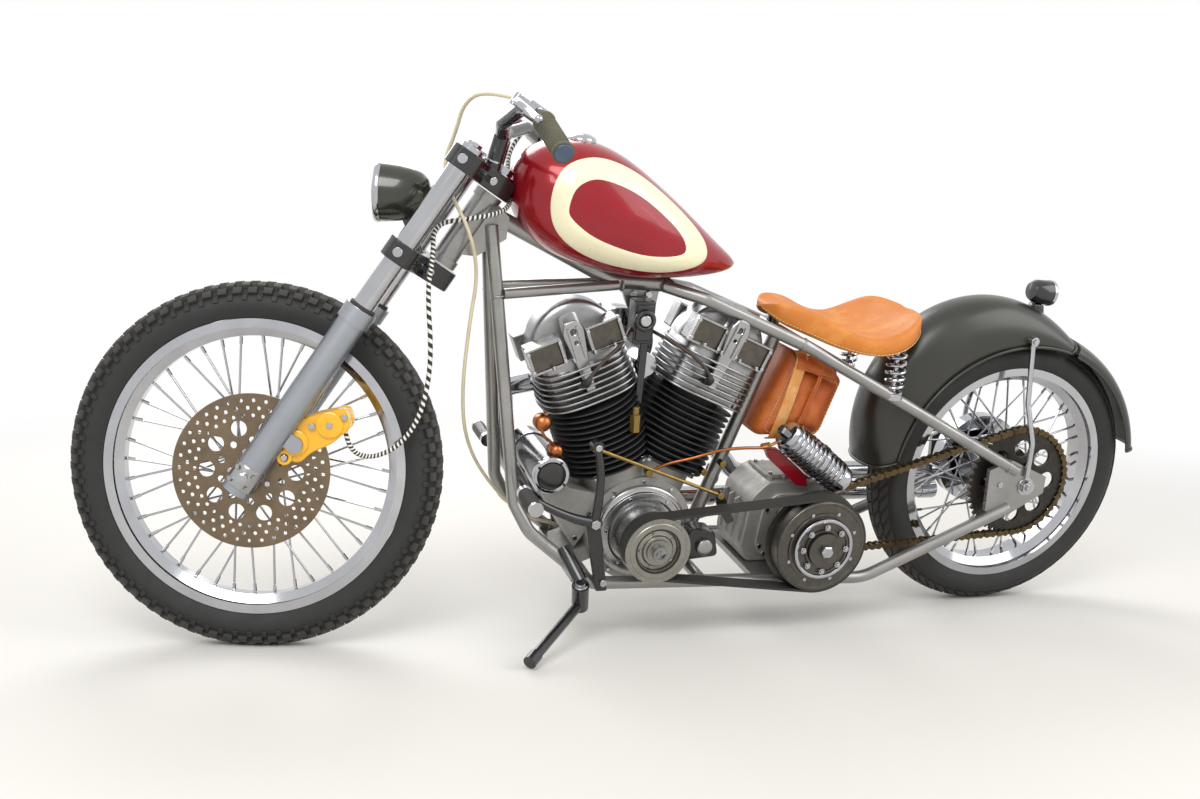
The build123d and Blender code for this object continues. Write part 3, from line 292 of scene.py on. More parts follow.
# a cream sheath with a soft plastic shine, a little darker where it is handled
cable_sheath = finish(
    "cream_cable_sheath", "cable_sheath", "#d9d0b4", 0.38, shade="#b8ac8c", patch=30,
)
CABLE_HIGH = steering([
    (30, 256, 1204), (92, 176, 1190), (122, 112, 1156), (108, 60, 1100), (98, 46, 1046),
    (54, 60, 1006), (-14, 62, 972),
])
CABLE_LOW = [
    (1236, 28, 740), (1246, 24, 650), (1252, 18, 500), (1232, 6, 390), (1160, -30, 282),
    (1060, -92, 186), (900, -98, 158), (690, -92, 164), (610, -76, 214),
]
CABLE = np.concatenate([on_fork(CABLE_HIGH), on_frame(CABLE_LOW)])
CABLE_RADIUS = 0.0035
cable = cord("clutch_cable_line", CABLE, CABLE_RADIUS, cable_sheath)


def unit(rows):
    """Vectors of length one, row by row."""
    rows = np.asarray(rows, float)
    return rows / np.linalg.norm(rows, axis=-1, keepdims=True)


def circling(count):
    """The cosines and sines of even angles round a circle."""
    a = np.linspace(0, 2 * np.pi, count, endpoint=False)
    return np.cos(a), np.sin(a)


def net(grid, round_u=False, round_v=False, ends=False):
    """The points and faces of a grid of points, joined to itself where it is round, and
    with its first and last rows closed by a face where it has ends."""
    rows, columns = grid.shape[:2]
    index = np.arange(rows * columns).reshape(rows, columns)
    wide = np.concatenate([index, index[:, :1]], 1) if round_v else index
    wide = np.concatenate([wide, wide[:1]], 0) if round_u else wide
    quads = np.stack([wide[:-1, :-1], wide[:-1, 1:], wide[1:, 1:], wide[1:, :-1]], -1)
    faces = quads.reshape(-1, 4).tolist()
    if ends:
        faces += [index[0][::-1].tolist(), index[-1].tolist()]
    return grid.reshape(-1, 3), faces


def swept(path, radius, sides=12, profile=None):
    """A tube: rings of a radius, one for all or one a point, square to the path's own
    direction, each ring turned as little as it can be from the one before."""
    path = np.asarray(path, float)
    along = unit(np.gradient(path, axis=0))
    sides_at = [unit(np.cross(along[0], (0.31, 0.2, 0.93)))]
    for way in along[1:]:
        sides_at.append(unit(sides_at[-1] - way * (sides_at[-1] @ way)))
    side = np.array(sides_at)
    other = np.cross(along, side)
    u, v = circling(sides) if profile is None else np.asarray(profile, float).T
    r = np.broadcast_to(radius, len(path))[:, None, None]
    ring = side[:, None] * u[:, None] + other[:, None] * v[:, None]
    return net(path[:, None] + ring * r, round_v=True, ends=True)


def piece(name, body, parts, material, instead=None, edge=0.0, smooth=40.0, slot=None):
    """One object from several parts of (points, faces): placed with its body, its doubles
    merged and its faces turned outwards, its edges rounded by a bevel in mm. It rides on
    its body; a piece of none is in its place already."""
    points = np.concatenate([np.asarray(p, float) for p, _ in parts])
    starts = np.cumsum([0] + [len(p) for p, _ in parts])
    faces = [[v + s for v in f] for (_, fs), s in zip(parts, starts) for f in fs]
    if body:
        points = (on_fork if body in ("fork", "front_wheel") else on_frame)(points)
    mesh = bpy.data.meshes.new(name)
    mesh.from_pydata(points.tolist(), [], faces)
    work = bmesh.new()
    work.from_mesh(mesh)
    bmesh.ops.remove_doubles(work, verts=work.verts, dist=2e-6)
    bmesh.ops.dissolve_degenerate(work, edges=work.edges, dist=1e-7)
    bmesh.ops.recalc_face_normals(work, faces=work.faces)
    work.to_mesh(mesh)
    work.free()
    mesh.materials.append(material)
    made = bpy.data.objects.new(name, mesh)
    scene.collection.objects.link(made)
    if edge:
        bevel = made.modifiers.new("edge", "BEVEL")
        bevel.width, bevel.segments, bevel.limit_method = edge / 1000, 2, "ANGLE"
        bevel.angle_limit = np.radians(35)
    if smooth >= 180:
        mesh.shade_smooth()
    else:
        mesh.set_sharp_from_angle(angle=np.radians(smooth))
    if body:
        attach(made, body)
    slot = slot or slot_of[material.name]
    if instead:
        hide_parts(instead)
    return made


def centreline(curve):
    """The points of a cord's own spline, read from its curve with no bevel."""
    bare = curve.copy()
    bare.data = curve.data.copy()
    bare.data.bevel_depth = 0
    scene.collection.objects.link(bare)
    bpy.context.view_layer.update()
    drawn = bare.evaluated_get(bpy.context.evaluated_depsgraph_get())
    read = bpy.data.meshes.new_from_object(drawn)
    line = np.empty(len(read.vertices) * 3)
    read.vertices.foreach_get("co", line)
    bpy.data.objects.remove(bare)
    return line.reshape(-1, 3)


hose_line = centreline(hose)
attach(hose, "fork")
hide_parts("brake_hose")
cable_line = centreline(cable)
bpy.data.objects.remove(cable)
cable = piece(
    "clutch_cable_sheath", None, [swept(cable_line, CABLE_RADIUS, 10)], cable_sheath,
    instead="clutch_cable", smooth=180,
)
on_fork(CABLE_HIGH[-1])
on_frame(CABLE_LOW[0])
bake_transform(cable)


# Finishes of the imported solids
# Each solid that stays as it is gets the finish of the real piece: bare steel tubes
# under clear lacquer, chrome, cast and polished aluminium, gloss and satin black.
def dress(material, *names):
    """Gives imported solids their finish."""
    for name in names:
        mesh = frame["nodes"][name].data
        mesh.materials.clear()
        mesh.materials.append(material)


# brushed bare steel under lacquer: grey, with faint darker heat patches and a low sheen
bare_steel = finish(
    "lacquered_bare_steel", "frame_paint", "#a5a5a3", 0.26, metal=0.8, shade="#7b7a77",
    patch=70, gloss=0.36, grain=1.2, depth=0.025, Coat_Weight=0.4, Coat_Roughness=0.12,
)
# chrome plate: bright and nearly a mirror, with a thin film of dust
chrome = finish(
    "chrome_plate", "chrome", "#c3c4c8", 0.07, metal=1.0, shade="#a3a4a8", patch=70, gloss=0.15,
)
# aluminium castings polished by hand: soft wavy shine over small hollows
polished_alloy = finish(
    "polished_aluminium_casting", "alloy", "#a9a9a9", 0.24, metal=1.0, shade="#838383",
    patch=26, gloss=0.4, grain=5.0, depth=0.12,
)
# sand-cast aluminium, left dull between its polished edges
raw_casting = finish(
    "sand_cast_aluminium", "alloy", "#aba9a4", 0.46, metal=0.6, shade="#8b8a86",
    patch=22, gloss=0.6, grain=1.6, depth=0.14,
)
# brushed aluminium fork legs: satin, drawn lengthwise
satin_alloy = finish(
    "satin_brushed_aluminium", "alloy_satin", "#a9adb3", 0.36, metal=0.95, shade="#8f9399",
    patch=70, gloss=0.46, grain=0.9, depth=0.02,
)
# heat-proof black on the barrels' fins, dusty on their edges
black_fins = finish(
    "heat_proof_black", "black_fins", "#19191b", 0.5, metal=0.2, shade="#2b2b2c",
    patch=18, gloss=0.66, grain=1.2, depth=0.08,
)
# gloss black powder coat, with dust that dulls it in places
gloss_black = finish(
    "gloss_black_enamel", "black_steel", "#0f0f11", 0.16, shade="#1c1c1e", patch=34, gloss=0.34,
    Coat_Weight=0.5, Coat_Roughness=0.08,
)
# oiled dark steel of the sprockets
dark_steel = finish(
    "oiled_dark_steel", "dark_steel", "#4d4945", 0.38, metal=0.9, shade="#2d2a27",
    patch=14, gloss=0.58, grain=1.0, depth=0.05,
)
dress(
    bare_steel, "steering_head", "backbone", "downtubes", "bottom_rails", "rear_stays",
    "axle_plates", "seat_post", "cross_members", "tie_tubes",
)
dress(
    chrome, "front_rim", "rear_rim", "front_spokes", "rear_spokes", "front_hub", "rear_hub",
    "fender_struts", "rear_axle", "front_axle", "exhaust_pipes", "carburettor",
)
dress(raw_casting, "crankcase", "timing_cover")
dress(satin_alloy, "fork_sliders")
dress(gloss_black, "handlebar", "generator", "brake_pedal", "stand_bracket", "side_stand")


# Tyres
# The front is a 21 inch trials tyre with rows of square rubber blocks, the shoulder
# blocks set between the middle ones; the rear is an 18 inch road tyre with a tread of
# zigzag grooves. Both are moulded in black rubber, greyed by dust on the tread.
def ring(profile, centre, sides=128, closed=True):
    """A ring round an axle: rows of (radius, along the axle) carried round a circle. The
    profile is closed, or open with its ends on the axle."""
    r, y = np.asarray(profile, float).T[:, :, None]
    c, s = circling(sides)
    grid = np.stack([centre[0] + r * c, centre[1] + y + 0 * c, centre[2] + r * s], -1)
    return net(grid, round_u=closed, round_v=True)


def copies(points, faces):
    """Like parts in one: an array of (part, point, 3), and the faces of one part."""
    n = points.shape[1]
    many = [[v + k * n for v in face] for k in range(len(points)) for face in faces]
    return points.reshape(-1, 3), many


def round_the_axle(part, centre, angles):
    """Copies of a part turned about a wheel's axle by each of the angles."""
    points, faces = part
    c, s = np.cos(angles)[:, None], np.sin(angles)[:, None]
    x, z = points[:, 0] - centre[0], points[:, 2] - centre[2]
    y = points[:, 1] + 0 * c
    many = np.stack([centre[0] + c * x - s * z, y, centre[2] + s * x + c * z], -1)
    return copies(many, faces)


def block(low, high, taper=1.0):
    """A box between two corners, its far X face drawn in by the taper."""
    (x0, y0, z0), (x1, y1, z1) = low, high
    middle = np.array([((y0 + y1) / 2, (z0 + z1) / 2)])
    square = np.array([(y0, z0), (y1, z0), (y1, z1), (y0, z1)], float)
    near = np.insert(square, 0, x0, axis=1)
    far = np.insert(middle + (square - middle) * taper, 0, x1, axis=1)
    sides = [[0, 4, 5, 1], [1, 5, 6, 2], [2, 6, 7, 3], [3, 7, 4, 0]]
    return np.concatenate([near, far]), [[0, 1, 2, 3], [7, 6, 5, 4], *sides]


def rubber(name, worn):
    """Tyre rubber: black, and greyed by each point's share of dust."""
    made = finish(
        name, "tyre", "#1b1b1c", 0.62, shade="#242423", patch=30, gloss=0.78, grain=2.0, depth=0.1
    )
    dust = add(made.node_tree, "ShaderNodeAttribute", attribute_name="tread")
    tint(made, dust.outputs["Fac"], worn)
    return made


def tread_dust(made, centre, axle, low, high):
    """Each point's share of dust: none below a radius in metres, all of it at the tread."""
    co = np.empty(len(made.data.vertices) * 3, np.float32)
    made.data.vertices.foreach_get("co", co)
    away = co.reshape(-1, 3) - centre
    r = np.linalg.norm(away - (away @ axle)[:, None] * axle, axis=1)
    share = np.clip((r - low) / (high - low), 0, 1).astype(np.float32)
    made.data.attributes.new("tread", "FLOAT", "POINT").data.foreach_set("value", share)


def tyre_body(radius, half, flange, rim, crown, depth):
    """The outer half of a tyre's section, mirrored: the crown is an arc, the sidewall a
    swelling curve down to the rim's edge, and the inside three points."""
    a = np.linspace(0, 0.86, 9)
    tread = np.stack([radius - depth - crown + crown * np.cos(a), crown * np.sin(a)], 1)
    t = np.linspace(0, 1, 12)[1:, None]
    end = np.array([flange + 1.0, rim + 0.6])
    belly = np.array([0.45 * radius + 0.55 * flange, half + 4.5])
    side = (1 - t) ** 2 * tread[-1] + 2 * t * (1 - t) * belly + t**2 * end
    inner = np.array([
        (flange + 1.0, rim - 7.0), (flange + 9.0, half - 16.0), (radius - depth - 9.0, 0.5 * half),
    ])
    outer = np.concatenate([tread, side])
    right = np.concatenate([inner[::-1], outer[::-1][:-1]]) * (1, -1)
    return np.concatenate([outer, inner, right])


# Columns: radius, half width, radius of the rim's edge, half its width, crown's arc, tread
FRONT_TYRE, REAR_TYRE = (348, 43, 281, 31, 42, 9), (316, 58, 247, 44, 55, 5)
radius, crown = FRONT_TYRE[0], FRONT_TYRE[4]
BLOCKS = 74
step = 2 * np.pi / BLOCKS
turns = np.arange(BLOCKS) * step
front_parts = [ring(tyre_body(*FRONT_TYRE), FRONT_AXLE)]
# Columns: tilt round the crown, half width, half length, which half step it starts on
for tilt, wide, long, shift in (
    (0.0, 7.5, 9.0, 0.0), (0.42, 7.0, 8.5, 0.5), (-0.42, 7.0, 8.5, 0.5),
    (0.86, 7.5, 9.5, 0.0), (-0.86, 7.5, 9.5, 0.0), (1.22, 6.0, 5.5, 0.5), (-1.22, 6.0, 5.5, 0.5),
):
    points, faces = block((30, -wide, -long), (43.5 if abs(tilt) < 1 else 42.0, wide, long), 0.86)
    c, s = np.cos(tilt), np.sin(tilt)
    x, y = points[:, 0] * c - points[:, 1] * s, points[:, 0] * s + points[:, 1] * c
    knob = np.stack([x + radius - crown + FRONT_AXLE[0], y, points[:, 2] + FRONT_AXLE[2]], 1)
    front_parts.append(round_the_axle((knob, faces), FRONT_AXLE, turns + shift * step))
front_tyre = piece(
    "front_trials_tyre", "front_wheel", front_parts, rubber("front_tyre_rubber", "#4a4844"),
    instead="front_tyre", edge=0.9,
)
hub_at, hub_left = on_fork([FRONT_AXLE, FRONT_AXLE + LEFT])
tread_dust(front_tyre, hub_at, unit(hub_left - hub_at), 0.325, 0.35)

radius, crown = REAR_TYRE[0], REAR_TYRE[4]
rear_parts = [ring(tyre_body(*REAR_TYRE), REAR_AXLE, 160)]
SLANTS = 64
step = 2 * np.pi / SLANTS
turns = np.arange(SLANTS) * step
# a rib stands on the carcass, from inside it to just under the tyre's radius
RIB = np.array([50.0, 54.6])
# Columns: tilts between which a rib runs, slant, half width, part of a step it starts on
for low, high, slant, wide, shift in (
    (-0.12, 0.12, 0.0, 12.0, 0.0), (0.2, 0.5, 9.0, 10.5, 0.35), (-0.5, -0.2, -9.0, 10.5, 0.35),
    (0.57, 0.92, 13.0, 10.0, 0.7), (-0.92, -0.57, -13.0, 10.0, 0.7),
):
    tilt = np.linspace(low, high, 4)[:, None, None]
    z = np.array([-wide, wide])[None, :, None]
    x = radius - crown + RIB * np.cos(tilt) + 0 * z
    y = RIB * np.sin(tilt) + 0 * z
    z = z + slant * (tilt - (low + high) / 2) / (high - low) * 2 + 0 * RIB
    loop = np.stack([x, y, z], -1) + REAR_AXLE
    shell = np.concatenate([loop[:, 0], loop[:, 1, ::-1]], 1)
    rib = net(shell, round_v=True, ends=True)
    rear_parts.append(round_the_axle(rib, REAR_AXLE, turns + shift * step))
rear_tyre = piece(
    "rear_road_tyre", "rear_wheel", rear_parts, rubber("rear_tyre_rubber", "#3a3937"),
    instead="rear_tyre", edge=0.6,
)
tread_dust(rear_tyre, on_frame([REAR_AXLE])[0], LEANED @ LEFT, 0.29, 0.318)


# Spoke nipples
# Forty brass nipples a wheel, plated bright, hold the wire spokes in the rim's well, and
# the spokes' heads stand on the hubs' flanges.
def rods(starts, ends, radius, sides=6):
    """Short rods from each start to each end, as one set of points and faces."""
    starts, ends = (np.atleast_2d(np.asarray(points, float)) for points in (starts, ends))
    way = unit(ends - starts)
    lying = np.abs(way[:, 1:2]) < 0.9
    side = unit(np.cross(way, np.where(lying, [(0.0, 1.0, 0.0)], [(1.0, 0.0, 0.0)])))
    c, s = circling(sides)
    rim = side[:, None] * c[:, None] + np.cross(way, side)[:, None] * s[:, None]
    both = np.stack([starts[:, None] + rim * radius, ends[:, None] + rim * radius], 1)
    faces = net(both[0], round_v=True, ends=True)[1]
    return copies(both.reshape(len(starts), -1, 3), faces)


SPOKES = 40
# how deep the rim's well lies under its edge, with the nipples' length
WELL = 13 + 16.9 + 4
# Columns: body, axle, tyre, hub radius, hub half, how far a spoke sweeps round the hub
for body, axle, (_, _, flange, half, _, _), hub, hub_half, sweep in (
    ("front_wheel", FRONT_AXLE, FRONT_TYRE, 46, 34, 0.62),
    ("rear_wheel", REAR_AXLE, REAR_TYRE, 66, 40, 0.75),
):
    k = np.arange(SPOKES)
    side = np.where(k % 2, 1, -1)
    rim_angle = k * 2 * np.pi / SPOKES
    hub_angle = rim_angle + np.where((k // 2) % 2, 1, -1) * sweep
    foot, well = hub + 2.2, flange - WELL
    starts = [foot * np.cos(hub_angle), side * (hub_half - 4.0), foot * np.sin(hub_angle)]
    ends = [well * np.cos(rim_angle), side * 0.12 * half, well * np.sin(rim_angle)]
    starts, ends = np.stack(starts, 1) + axle, np.stack(ends, 1) + axle
    way = unit(ends - starts)
    heads = rods(starts - way * 4, starts + way * 3, 3.6)
    nipples = rods(ends - way * 15, ends - way * 0.5, 3.3)
    piece(body + "_nipples", body, [nipples, heads], chrome)


# Brake disc
# A plate of ground steel, blued and bronzed by heat, drilled with three staggered rows
# of small holes; ten round windows lighten its carrier, which is bolted to the hub.
def circle(x, z, radius, sides=14):
    """A round loop of points in a flat drawing."""
    c, s = circling(sides)
    return np.stack([x + radius * c, z + radius * s], 1)


def cut_plate(loops, low, high, edge=0.4, centre=(0, 0, 0)):
    """A flat plate seen from the left: its outline and holes are loops of (x, z) about a
    centre, and it fills the space between two planes across the machine."""
    flat = bpy.data.curves.new("cut", "CURVE")
    flat.dimensions, flat.fill_mode = "2D", "BOTH"
    flat.extrude, flat.bevel_depth, flat.bevel_resolution = (high - low) / 2 - edge, edge, 0
    flat.offset = -edge
    for loop in loops:
        spline = flat.splines.new("POLY")
        spline.points.add(len(loop) - 1)
        row = np.column_stack([loop, np.zeros(len(loop)), np.ones(len(loop))])
        spline.points.foreach_set("co", row.ravel())
        spline.use_cyclic_u = True
    holder = bpy.data.objects.new("cut", flat)
    mesh = bpy.data.meshes.new_from_object(holder)
    co = np.empty(len(mesh.vertices) * 3)
    mesh.vertices.foreach_get("co", co)
    x, y, z = co.reshape(-1, 3).T
    faces = [list(p.vertices) for p in mesh.polygons]
    bpy.data.objects.remove(holder)
    points = np.stack([centre[0] + x, (low + high) / 2 - z + centre[1], centre[2] + y], 1)
    return points, faces


def evenly(count, radius, phase=0.0):
    """Places round a circle, as (x, z)."""
    a = np.arange(count) * 2 * np.pi / count + phase
    return radius * np.cos(a), radius * np.sin(a)


def spots(count, radius, size, sides=12, phase=0.0):
    """Like holes on a circle."""
    return [circle(x, z, size, sides) for x, z in zip(*evenly(count, radius, phase))]


def on_ring(centre, count, radius, low, high, size, sides=6, phase=0.0):
    """Like studs round an axle, from one plane to another."""
    x, z = evenly(count, radius, phase)
    return rods(*(np.stack([centre[0] + x, y + 0 * x, centre[2] + z], 1) for y in (low, high)),
                size, sides)


# ground steel, straw and bronze where the pads have heated it
disc_steel = finish(
    "heat_bronzed_ground_steel", "disc_steel", "#8d7c66", 0.3, metal=0.95, shade="#5b4f43",
    patch=45, gloss=0.42, grain=0.8, depth=0.02,
)
holes = spots(36, 104, 3.6) + spots(36, 118, 3.8, phase=0.087) + spots(36, 132, 3.6)
windows = spots(10, 82, 15, 24) + spots(10, 58, 6.5, 16, 0.314)
disc = cut_plate(
    [circle(0, 0, 145, 144), *holes, *windows, circle(0, 0, 24, 48)], 59.5, 64.5,
    centre=FRONT_AXLE,
)
piece("drilled_brake_disc", "front_wheel", [disc], disc_steel, "brake_disc")
carrier_bolts = on_ring(FRONT_AXLE, 5, 38, 64.0, 69.0, 5.5)
boss = ring([(9.6, 64.4), (27, 64.4), (29, 66), (29, 74), (24, 80), (9.6, 80)], FRONT_AXLE, 48)
cap_rows = [(0.01, 141), (9, 141), (10.5, 143), (10.5, 147), (8, 149), (0.01, 149)]
piece("front_hub_boss", "front_wheel", [boss, carrier_bolts], chrome, edge=0.5)
piece("front_axle_cap", "fork", [ring(cap_rows, FRONT_AXLE, 24, False)], chrome)

# Chain and sprockets
# A roller chain of five-eighths of an inch a link and its wheel of 48 teeth: pressed steel
# side plates, alternately inside and outside, riveted through rollers, dark with oil.
PITCH = 15.875
CLUTCH = np.array((520.0, 0.0, 224.0))
CRANK = np.array((878.0, 0.0, 230.0))
OUTPUT_TEETH, WHEEL_TEETH, LINKS = 23, 48, 102


def pitch_radius(teeth):
    """The radius of the rollers' circle round a sprocket."""
    return PITCH / (2 * np.sin(np.pi / teeth))


def runs(line):
    """How far along a line each of its points lies."""
    return np.concatenate([[0], np.cumsum(np.linalg.norm(np.diff(line, axis=0), axis=1))])


def at_runs(line, at):
    """The points of a line that lie at distances along it."""
    return np.stack([np.interp(at, runs(line), column) for column in line.T], 1)


def loop_round(first, r1, second, r2, count):
    """Evenly spaced points on a belt's line round two circles, as (x, z): two arcs and
    the two outer tangents, walked once round."""
    first, second = first[[0, 2]], second[[0, 2]]
    gap = second - first
    heading = np.arctan2(gap[1], gap[0])
    side = np.arctan2(np.sqrt(gap @ gap - (r1 - r2) ** 2), r1 - r2)
    a = np.linspace(heading + side, heading + 2 * np.pi - side, 400)[:, None]
    b = np.linspace(heading - side, heading + side, 400)[:, None]
    path = np.concatenate([
        first + r1 * np.hstack([np.cos(a), np.sin(a)]),
        second + r2 * np.hstack([np.cos(b), np.sin(b)]),
    ])
    path = np.concatenate([path, path[:1]])
    return at_runs(path, np.arange(count) * runs(path)[-1] / count)


def in_plane(points, y):
    """Flat (x, z) points as drawing points at a distance from the middle."""
    return np.insert(np.asarray(points, float), 1, y, axis=1)


def link_plates(joints, first, y, thick, half):
    """Side plates from every second joint to the next: two round ends and a waist."""
    a = joints[first::2]
    along = unit(np.roll(joints, -1, 0)[first::2] - a)
    up = along[:, ::-1] * (-1, 1)
    t = np.linspace(np.pi / 2, 3 * np.pi / 2, 6)
    u = np.concatenate([half * np.cos(t), [PITCH / 2], PITCH - half * np.cos(t), [PITCH / 2]])
    v = np.concatenate([half * np.sin(t), [-0.62 * half], -half * np.sin(t), [0.62 * half]])
    flat = a[:, None] + along[:, None] * u[:, None] + up[:, None] * v[:, None]
    both = np.stack([np.insert(flat, 1, y + way * thick / 2, axis=-1) for way in (-1, 1)], 1)
    return copies(both.reshape(len(a), -1, 3), net(both[0], round_v=True, ends=True)[1])


joints = loop_round(
    CLUTCH, pitch_radius(OUTPUT_TEETH), REAR_AXLE, pitch_radius(WHEEL_TEETH), LINKS
)
# Columns: first joint, distance from the middle, thickness, half height
chain_parts = [link_plates(joints, *row) for row in (
    (0, 96.0, 1.6, 7.0), (0, 80.0, 1.6, 7.0), (1, 94.0, 1.6, 6.6), (1, 82.0, 1.6, 6.6),
)]
chain_parts.append(rods(in_plane(joints, 82.0), in_plane(joints, 94.0), 5.0, 8))
chain_parts.append(rods(in_plane(joints, 78.6), in_plane(joints, 97.4), 2.4, 6))
# bronze-toned chain plates, oiled and dusty
chain_bronze = finish(
    "oiled_bronze_chain", "dark_steel", "#746143", 0.36, metal=0.9, shade="#3f3527",
    patch=12, gloss=0.52, grain=1.0, depth=0.04,
)
piece("roller_chain", "chassis", chain_parts, chain_bronze, "drive_chain")


def toothed(teeth, tip):
    """A sprocket's outline: each tooth a rounded trapezium from 7 mm inside the pitch
    circle to its tip's height outside it."""
    c, s = circling(teeth * 8)
    wave = np.tile([1.0, 0.92, 0.45, 0.1, 0.0, 0.1, 0.45, 0.92], teeth)
    r = pitch_radius(teeth) - 7 + (tip + 7) * wave
    return np.stack([r * c, r * s], 1)


wheel_plate = cut_plate(
    [toothed(WHEEL_TEETH, 2), *spots(8, 76, 20, 24), *spots(8, 44, 5, 12, 0.39),
     circle(0, 0, 9.7, 24)], 84.5, 91.5, centre=REAR_AXLE,
)
sprocket_bolts = on_ring(REAR_AXLE, 8, 44, 91.0, 97.0, 7.0, phase=0.39)
piece("chain_wheel", "rear_wheel", [wheel_plate], dark_steel, "rear_sprocket")
piece("chain_wheel_bolts", "rear_wheel", [sprocket_bolts], chrome, edge=0.5)

# Primary drive
# An open toothed belt from the crank's alloy pulley to the clutch basket, whose pressure
# plate is held by a ring of sprung bolts; anodised and turned, with bright worn edges.
belt_rubber = finish(
    "primary_belt_rubber", "dark_steel", "#1d1d1c", 0.6, shade="#2e2d2a", patch=9, gloss=0.75,
)
dress(belt_rubber, "primary_belt")
# zinc-plated clutch steel: grey with a brown cast where it runs hot
clutch_metal = finish(
    "turned_dark_steel", "dark_steel", "#6e6b65", 0.27, metal=0.95, shade="#4a4743",
    patch=20, gloss=0.42,
)
basket = [
    ring([(62, 189), (70, 186), (88, 186), (91, 189.6), (96, 189.6), (97.5, 188), (97.5, 183),
          (60, 183)], CLUTCH, 96),
    on_ring(CLUTCH, 72, 93.8, 185.0, 190.6, 2.0),
]
# Columns: inner radius, width and face of each ring of the pressure plate
basket += [
    ring([(r, 185), (r, y), (r + w, y), (r + w, 185)], CLUTCH, 72)
    for r, w, y in ((80, 3, 188), (66, 8, 192), (52, 5, 199.5), (37, 5, 201.5))
]
piece("clutch_basket_face", "chassis", basket, clutch_metal, edge=0.4)
dress(clutch_metal, "clutch_pulley")
spring_plate = [
    ring([(58, 198), (58, 201.6), (61.5, 203), (65, 201.6), (65, 198)], CLUTCH, 96),
    on_ring(CLUTCH, 8, 48, 197, 206, 6.5, 12), on_ring(CLUTCH, 8, 48, 206, 210, 4.2),
    on_ring(CLUTCH, 8, 76, 186, 192, 4.0, 8, 0.39),
    ring([(0.01, 208), (11, 208), (14, 211), (14, 219), (11, 222), (0.01, 222)], CLUTCH, 6, False),
]
piece("clutch_springs", "chassis", spring_plate, chrome, edge=0.4)
pulley_face = [
    ring([(24, 189), (30, 189), (33, 184), (41, 183), (45, 190.4), (57, 190.4), (58.5, 189),
          (58.5, 180), (24, 180)], CRANK, 80),
    on_ring(CRANK, 5, 36, 183, 187, 3.2, 8), on_ring(CRANK, 34, 62.5, 187.2, 190.4, 2.2, 5),
]
nut_rows = [(0.01, 205), (12, 205), (15.5, 203), (17, 198), (17, 192), (0.01, 192)]
# turned aluminium: even and bright, with no lumps
turned_alloy = finish(
    "turned_aluminium", "alloy", "#b4b4b4", 0.2, metal=1.0, shade="#949494", patch=40, gloss=0.3,
)
pulley_metal = finish(
    "turned_pulley_alloy", "alloy", "#a4a29b", 0.26, metal=1.0, shade="#84827b",
    patch=30, gloss=0.38,
)
dress(pulley_metal, "front_pulley")
piece("front_pulley_face", "chassis", pulley_face, pulley_metal, edge=0.5)
piece("front_pulley_nut", "chassis", [ring(nut_rows, CRANK, 6, False)], chrome, edge=0.6)
groove = ring([(40.5, 183.4), (44.5, 190.7), (47.5, 190.7), (46, 183.4)], CRANK, 80)
piece("front_pulley_groove", "chassis", [groove], dark_steel)

# Front caliper
# A two piston caliper, cast in aluminium and painted gloss yellow, bolted to the ear of
# the left fork leg by a chromed bolt; the hose comes to its rear end.
caliper_paint = finish(
    "gloss_yellow_paint", "caliper_yellow", "#f2b705", 0.22, shade="#dc9e02", patch=30,
    gloss=0.34, grain=3.0, depth=0.05, Coat_Weight=0.7, Coat_Roughness=0.06,
)


def rounded(points, reach, steps=5):
    """An outline of (x, z) whose corners are arcs of quadratic curves of a reach in mm."""
    p = np.asarray(points, float)
    before, after = unit(np.roll(p, 1, 0) - p), unit(np.roll(p, -1, 0) - p)
    t = np.linspace(0, 1, steps)[None, :, None]
    a, b, m = (p + before * reach)[:, None], (p + after * reach)[:, None], p[:, None]
    return ((1 - t) ** 2 * a + 2 * t * (1 - t) * m + t**2 * b).reshape(-1, 2)


body_line = rounded([
    (-58, 34), (-60, 82), (-104, 112), (-176, 132), (-186, 96), (-150, 62), (-112, 44), (-92, 22),
], 13)
bridge_line = rounded([(-128, 96), (-140, 116), (-176, 128), (-180, 100), (-156, 84)], 6)
lug_lines = [circle(-66, 34, 14, 28), circle(-66, 34, 7, 20)]
# Columns: outline, inner and outer face, bevel
caliper = [cut_plate(*row, centre=FRONT_AXLE) for row in (
    ([body_line], 71.0, 94.0, 2.5), ([body_line], 37.0, 53.0, 2.5),
    ([bridge_line], 50.0, 74.0, 1.0), (lug_lines, 76.0, 99.0, 1.2),
)]
bore_rows = [(0.01, 94), (22, 94), (24, 96), (24, 98), (19, 100), (0.01, 100)]
for x, z in ((-84, 62), (-146, 98)):
    caliper.append(ring(bore_rows, FRONT_AXLE + (x, 0, z), 40, False))
piece("yellow_caliper", "fork", caliper, caliper_paint, "brake_caliper")
# Columns: place ahead and up, inner and outer end of each bolt
x, z, low, high = np.array([
    (-66, 34, 92, 103), (-114, 94, 92, 101), (-172, 114, 92, 100), (-84, 62, 99, 103),
    (-146, 98, 99, 103),
]).T
bolts = rods(*(FRONT_AXLE + np.stack([x, y, z], 1) for y in (low, high)), 6.5)
piece("caliper_bolts", "fork", [bolts], chrome, edge=0.5)


